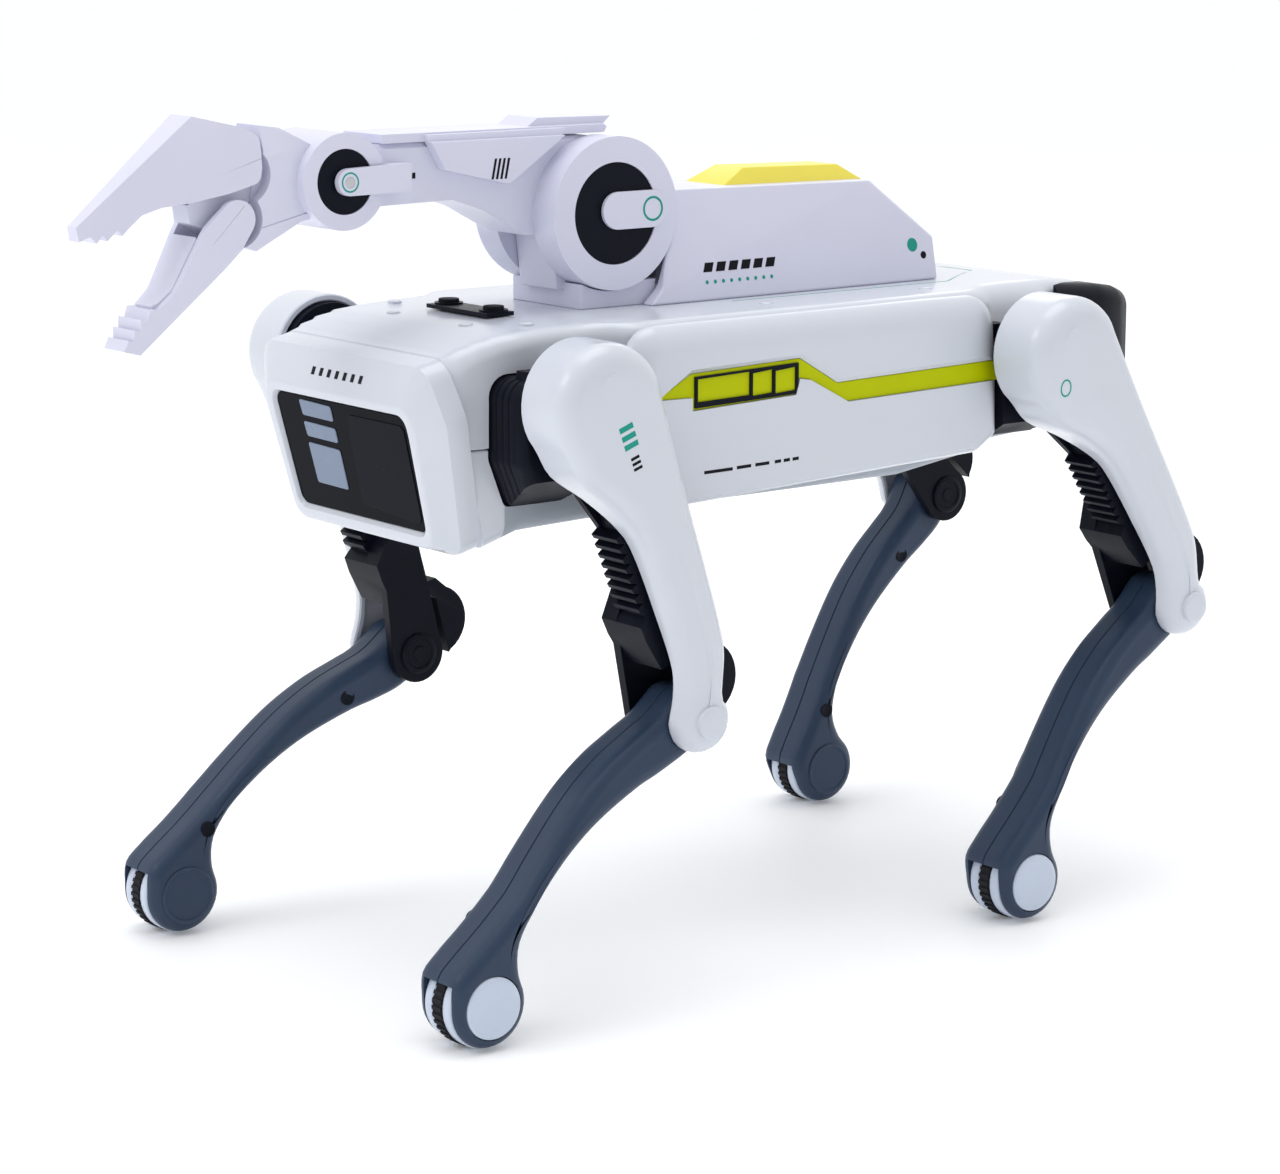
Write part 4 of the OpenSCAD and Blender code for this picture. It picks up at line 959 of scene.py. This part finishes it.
for side, word in SIDES:
    # a row of slanted dashes, a row of dots and two discs on the backpack
    marks = [("dash", [(y, 191.0), (y + 3.2, 191.0), (y + 4.2, 193.6), (y + 1.0, 193.6)], INK)
             for y in (10.0 + 4.6 * i for i in range(6))]
    marks += [("dot", circle(11.0 + 3.0 * i, 188.2, 0.55, count=16), TEAL) for i in range(9)]
    marks += [("disc", circle(90.6, 193.6, 2.0), TEAL), ("disc", circle(94.6, 190.4, 1.1), INK)]
    made = dict.fromkeys(("dash", "dot", "disc"), 0)
    for kind, outline, ink in marks:
        made[kind] += 1
        on_side("%s_pack_%s_%d" % (word, kind, made[kind]), backpack, outline, 21, side, "torso", ink)
    # dashes low on the side panel
    panel = objects[word + "_side_panel_shell"]
    for i, (y, length) in enumerate(((-18.0, 10.0), (-6.5, 5.0), (0.0, 5.0), (7.0, 2.2), (10.2, 2.2),
                                     (13.4, 2.2))):
        z = 141.2 + 0.02 * y
        dash = [(y, z), (y + length, z + 0.1), (y + length, z + 1.0), (y, z + 0.9)]
        on_side("%s_panel_dash_%d" % (word, i + 1), panel, dash, PANEL_X, side, "torso", INK)

# arm marks: four slanted stripes on the side pod, three small squares near the wrist, and two rings
arm = nodes["upper_arm_shell"]
for side, word in SIDES:
    for i in range(4):
        y = -57.6 + 1.45 * i
        stripe = [(y, 220.2), (y + 0.75, 220.2), (y + 1.95, 225.8), (y + 1.2, 225.8)]
        on_side("%s_arm_stripe_%d" % (word, i + 1), nodes["upper_arm_cover"], stripe, 12.6, side,
                "upper_arm", INK)
    for i in range(3):
        y = -85.1 + 1.9 * i
        square = [(y, 221.4), (y + 1.3, 221.4), (y + 1.3, 223.0), (y, 223.0)]
        on_side("%s_arm_square_%d" % (word, i + 1), arm, square, 9, side, "upper_arm", INK)
    for kind, target, centre, x, radii in (
            ("link", nodes["shoulder_links"], (-8.0, 210.1), 20.1, (3.5, 2.85)),
            ("wrist", arm, wrist[1:], 14.9, (2.7, 2.25))):
        outer, inner = (circle(*centre, r, count=45) for r in radii)
        on_side("%s_%s_ring" % (word, kind), target, outer, x, side, "upper_arm", TEAL, inner)

# a short row of slanted dashes on the brow, and a fine outline on the deck round the backpack
for i in range(7):
    x = -12.5 + 3.9 * i
    dash = on_face([(x, -11, 26.0), (x + 1.6, -11, 26.0), (x + 2.1, -11, 28.0), (x + 0.5, -11, 28.0)])
    lean = (0, math.cos(FACE_LEAN), math.sin(FACE_LEAN))
    printed("brow_dash_%d" % (i + 1), bezel, dash, lean, "torso", INK)
LINE = mirrored([(26.0, 16), (26.0, 98), (17.4, 110), (11.7, 118), (6.0, 126)])
outer_line = [(x, y, DECK_Z) for x, y in LINE]
inner_line = [(x - math.copysign(0.4, x), y - (0.5 if y > 100 else 0), DECK_Z) for x, y in LINE]
printed("deck_line", top, outer_line + inner_line[::-1], (0, 0, -1), "torso", TEAL)

# moulded pips on the deck
PIPS = [(side * x, y, z) for x, y, z in ((17.6, -70, 182), (32, -60, DECK_Z), (36, 20, DECK_Z),
                                         (36, 80, DECK_Z)) for side in (1, -1)]
PIP = [(-0.6, 0), (-0.6, 2), (0.1, 2), (0.42, 1.7), (0.5, 1.2), (0.5, 0)]
for i, (x, y, z) in enumerate(PIPS):
    pip = lathe("deck_pip_%d" % (i + 1), PIP, (0, 0, 0), None, WHITE, count=32)
    pip.data.transform(Matrix(((0, 0, 1, x * MM), (0, 1, 0, y * MM), (1, 0, 0, z * MM), (0, 0, 0, 1))))
    pip.data.flip_normals()
    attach(pip, "torso")

# ------------ floor, light, camera
NEAR_SIDE = (0.93, -0.20, -0.30)  # the direction that the studio is dimmest in
FAR_LIGHT, NEAR_LIGHT, BACKDROP, FLOOR_GLOW = 0.98, 0.48, 1.06, 0.10
floor_mat = moulded("studio_floor", (0.985, 0.99, 0.995), 0.55, grain=0.0, vary=0.0, specular=0.2)
bpy.ops.mesh.primitive_plane_add(size=16, location=(0, 0, 0))
floor = bpy.context.object
floor.name = "studio_floor"
floor.data.materials.append(floor_mat)
floor_shader = floor_mat.node_tree.nodes["Principled BSDF"]
floor_shader.inputs["Emission Color"].default_value = (0.98, 0.99, 1.0, 1)
floor_shader.inputs["Emission Strength"].default_value = FLOOR_GLOW

world = bpy.data.worlds.new("studio")
bpy.context.scene.world = world
world.use_nodes = True
studio = world.node_tree
backdrop = studio.nodes["Background"]
backdrop.inputs["Color"].default_value = (0.985, 0.992, 1.0, 1)
# the studio is dimmer on the near side, so faces that look that way are a shade darker than the tops
sky = node_at(studio, "ShaderNodeTexCoord")
facing = node_at(studio, "ShaderNodeVectorMath", operation="DOT_PRODUCT")
facing.inputs[1].default_value = NEAR_SIDE
dim = node_at(studio, "ShaderNodeMapRange", **{"From Min": 0.0, "From Max": 0.9, "To Min": FAR_LIGHT,
                                               "To Max": NEAR_LIGHT})
studio.links.new(sky.outputs["Generated"], facing.inputs[0])
studio.links.new(facing.outputs["Value"], dim.inputs["Value"])
# what the camera sees behind the floor stays an even white
ray = node_at(studio, "ShaderNodeLightPath")
seen_as = node_at(studio, "ShaderNodeMix", data_type="FLOAT")
seen_as.inputs["B"].default_value = BACKDROP
studio.links.new(ray.outputs["Is Camera Ray"], seen_as.inputs["Factor"])
studio.links.new(dim.outputs["Result"], seen_as.inputs["A"])
studio.links.new(seen_as.outputs["Result"], backdrop.inputs["Strength"])


def softbox(name, place, aim, size, power):
    light = bpy.data.lights.new(name, "AREA")
    light.shape = "RECTANGLE"
    light.size, light.size_y = size
    light.energy = power
    obj = put_in(bpy.data.objects.new(name, light))
    obj.location = place
    obj.rotation_euler = (Vector(aim) - Vector(place)).to_track_quat("-Z", "Y").to_euler()


softbox("key", (-0.2, -1.2, 1.2), (0, 0, 0.12), (0.8, 0.5), 3.2)
softbox("top", (0.0, 0.1, 1.5), (0, 0, 0.1), (1.0, 1.0), 6.0)
softbox("rim", (-0.9, 0.9, 0.9), (0, 0, 0.12), (0.6, 0.6), 1.2)

CAMERA_TURN = math.radians(52.54)   # round from straight ahead of the face
CAMERA_RISE = math.radians(11.40)
CAMERA_AT = (808.7, -616.8, 303.4)
LENS = 100.46
lens = bpy.data.cameras.new("camera")
lens.lens = LENS
lens.sensor_width = 36
lens.clip_start = 0.05
lens.clip_end = 60
camera = put_in(bpy.data.objects.new("camera", lens))
back = Vector((math.sin(CAMERA_TURN) * math.cos(CAMERA_RISE),
               -math.cos(CAMERA_TURN) * math.cos(CAMERA_RISE), math.sin(CAMERA_RISE)))
right = Vector((math.cos(CAMERA_TURN), math.sin(CAMERA_TURN), 0))
up = back.cross(right)
turn = Matrix((right, up, back)).transposed()
camera.matrix_world = Matrix.Translation(Vector(CAMERA_AT) * MM) @ turn.to_4x4()
bpy.context.scene.camera = camera
bpy.context.scene.view_settings.view_transform = "Standard"
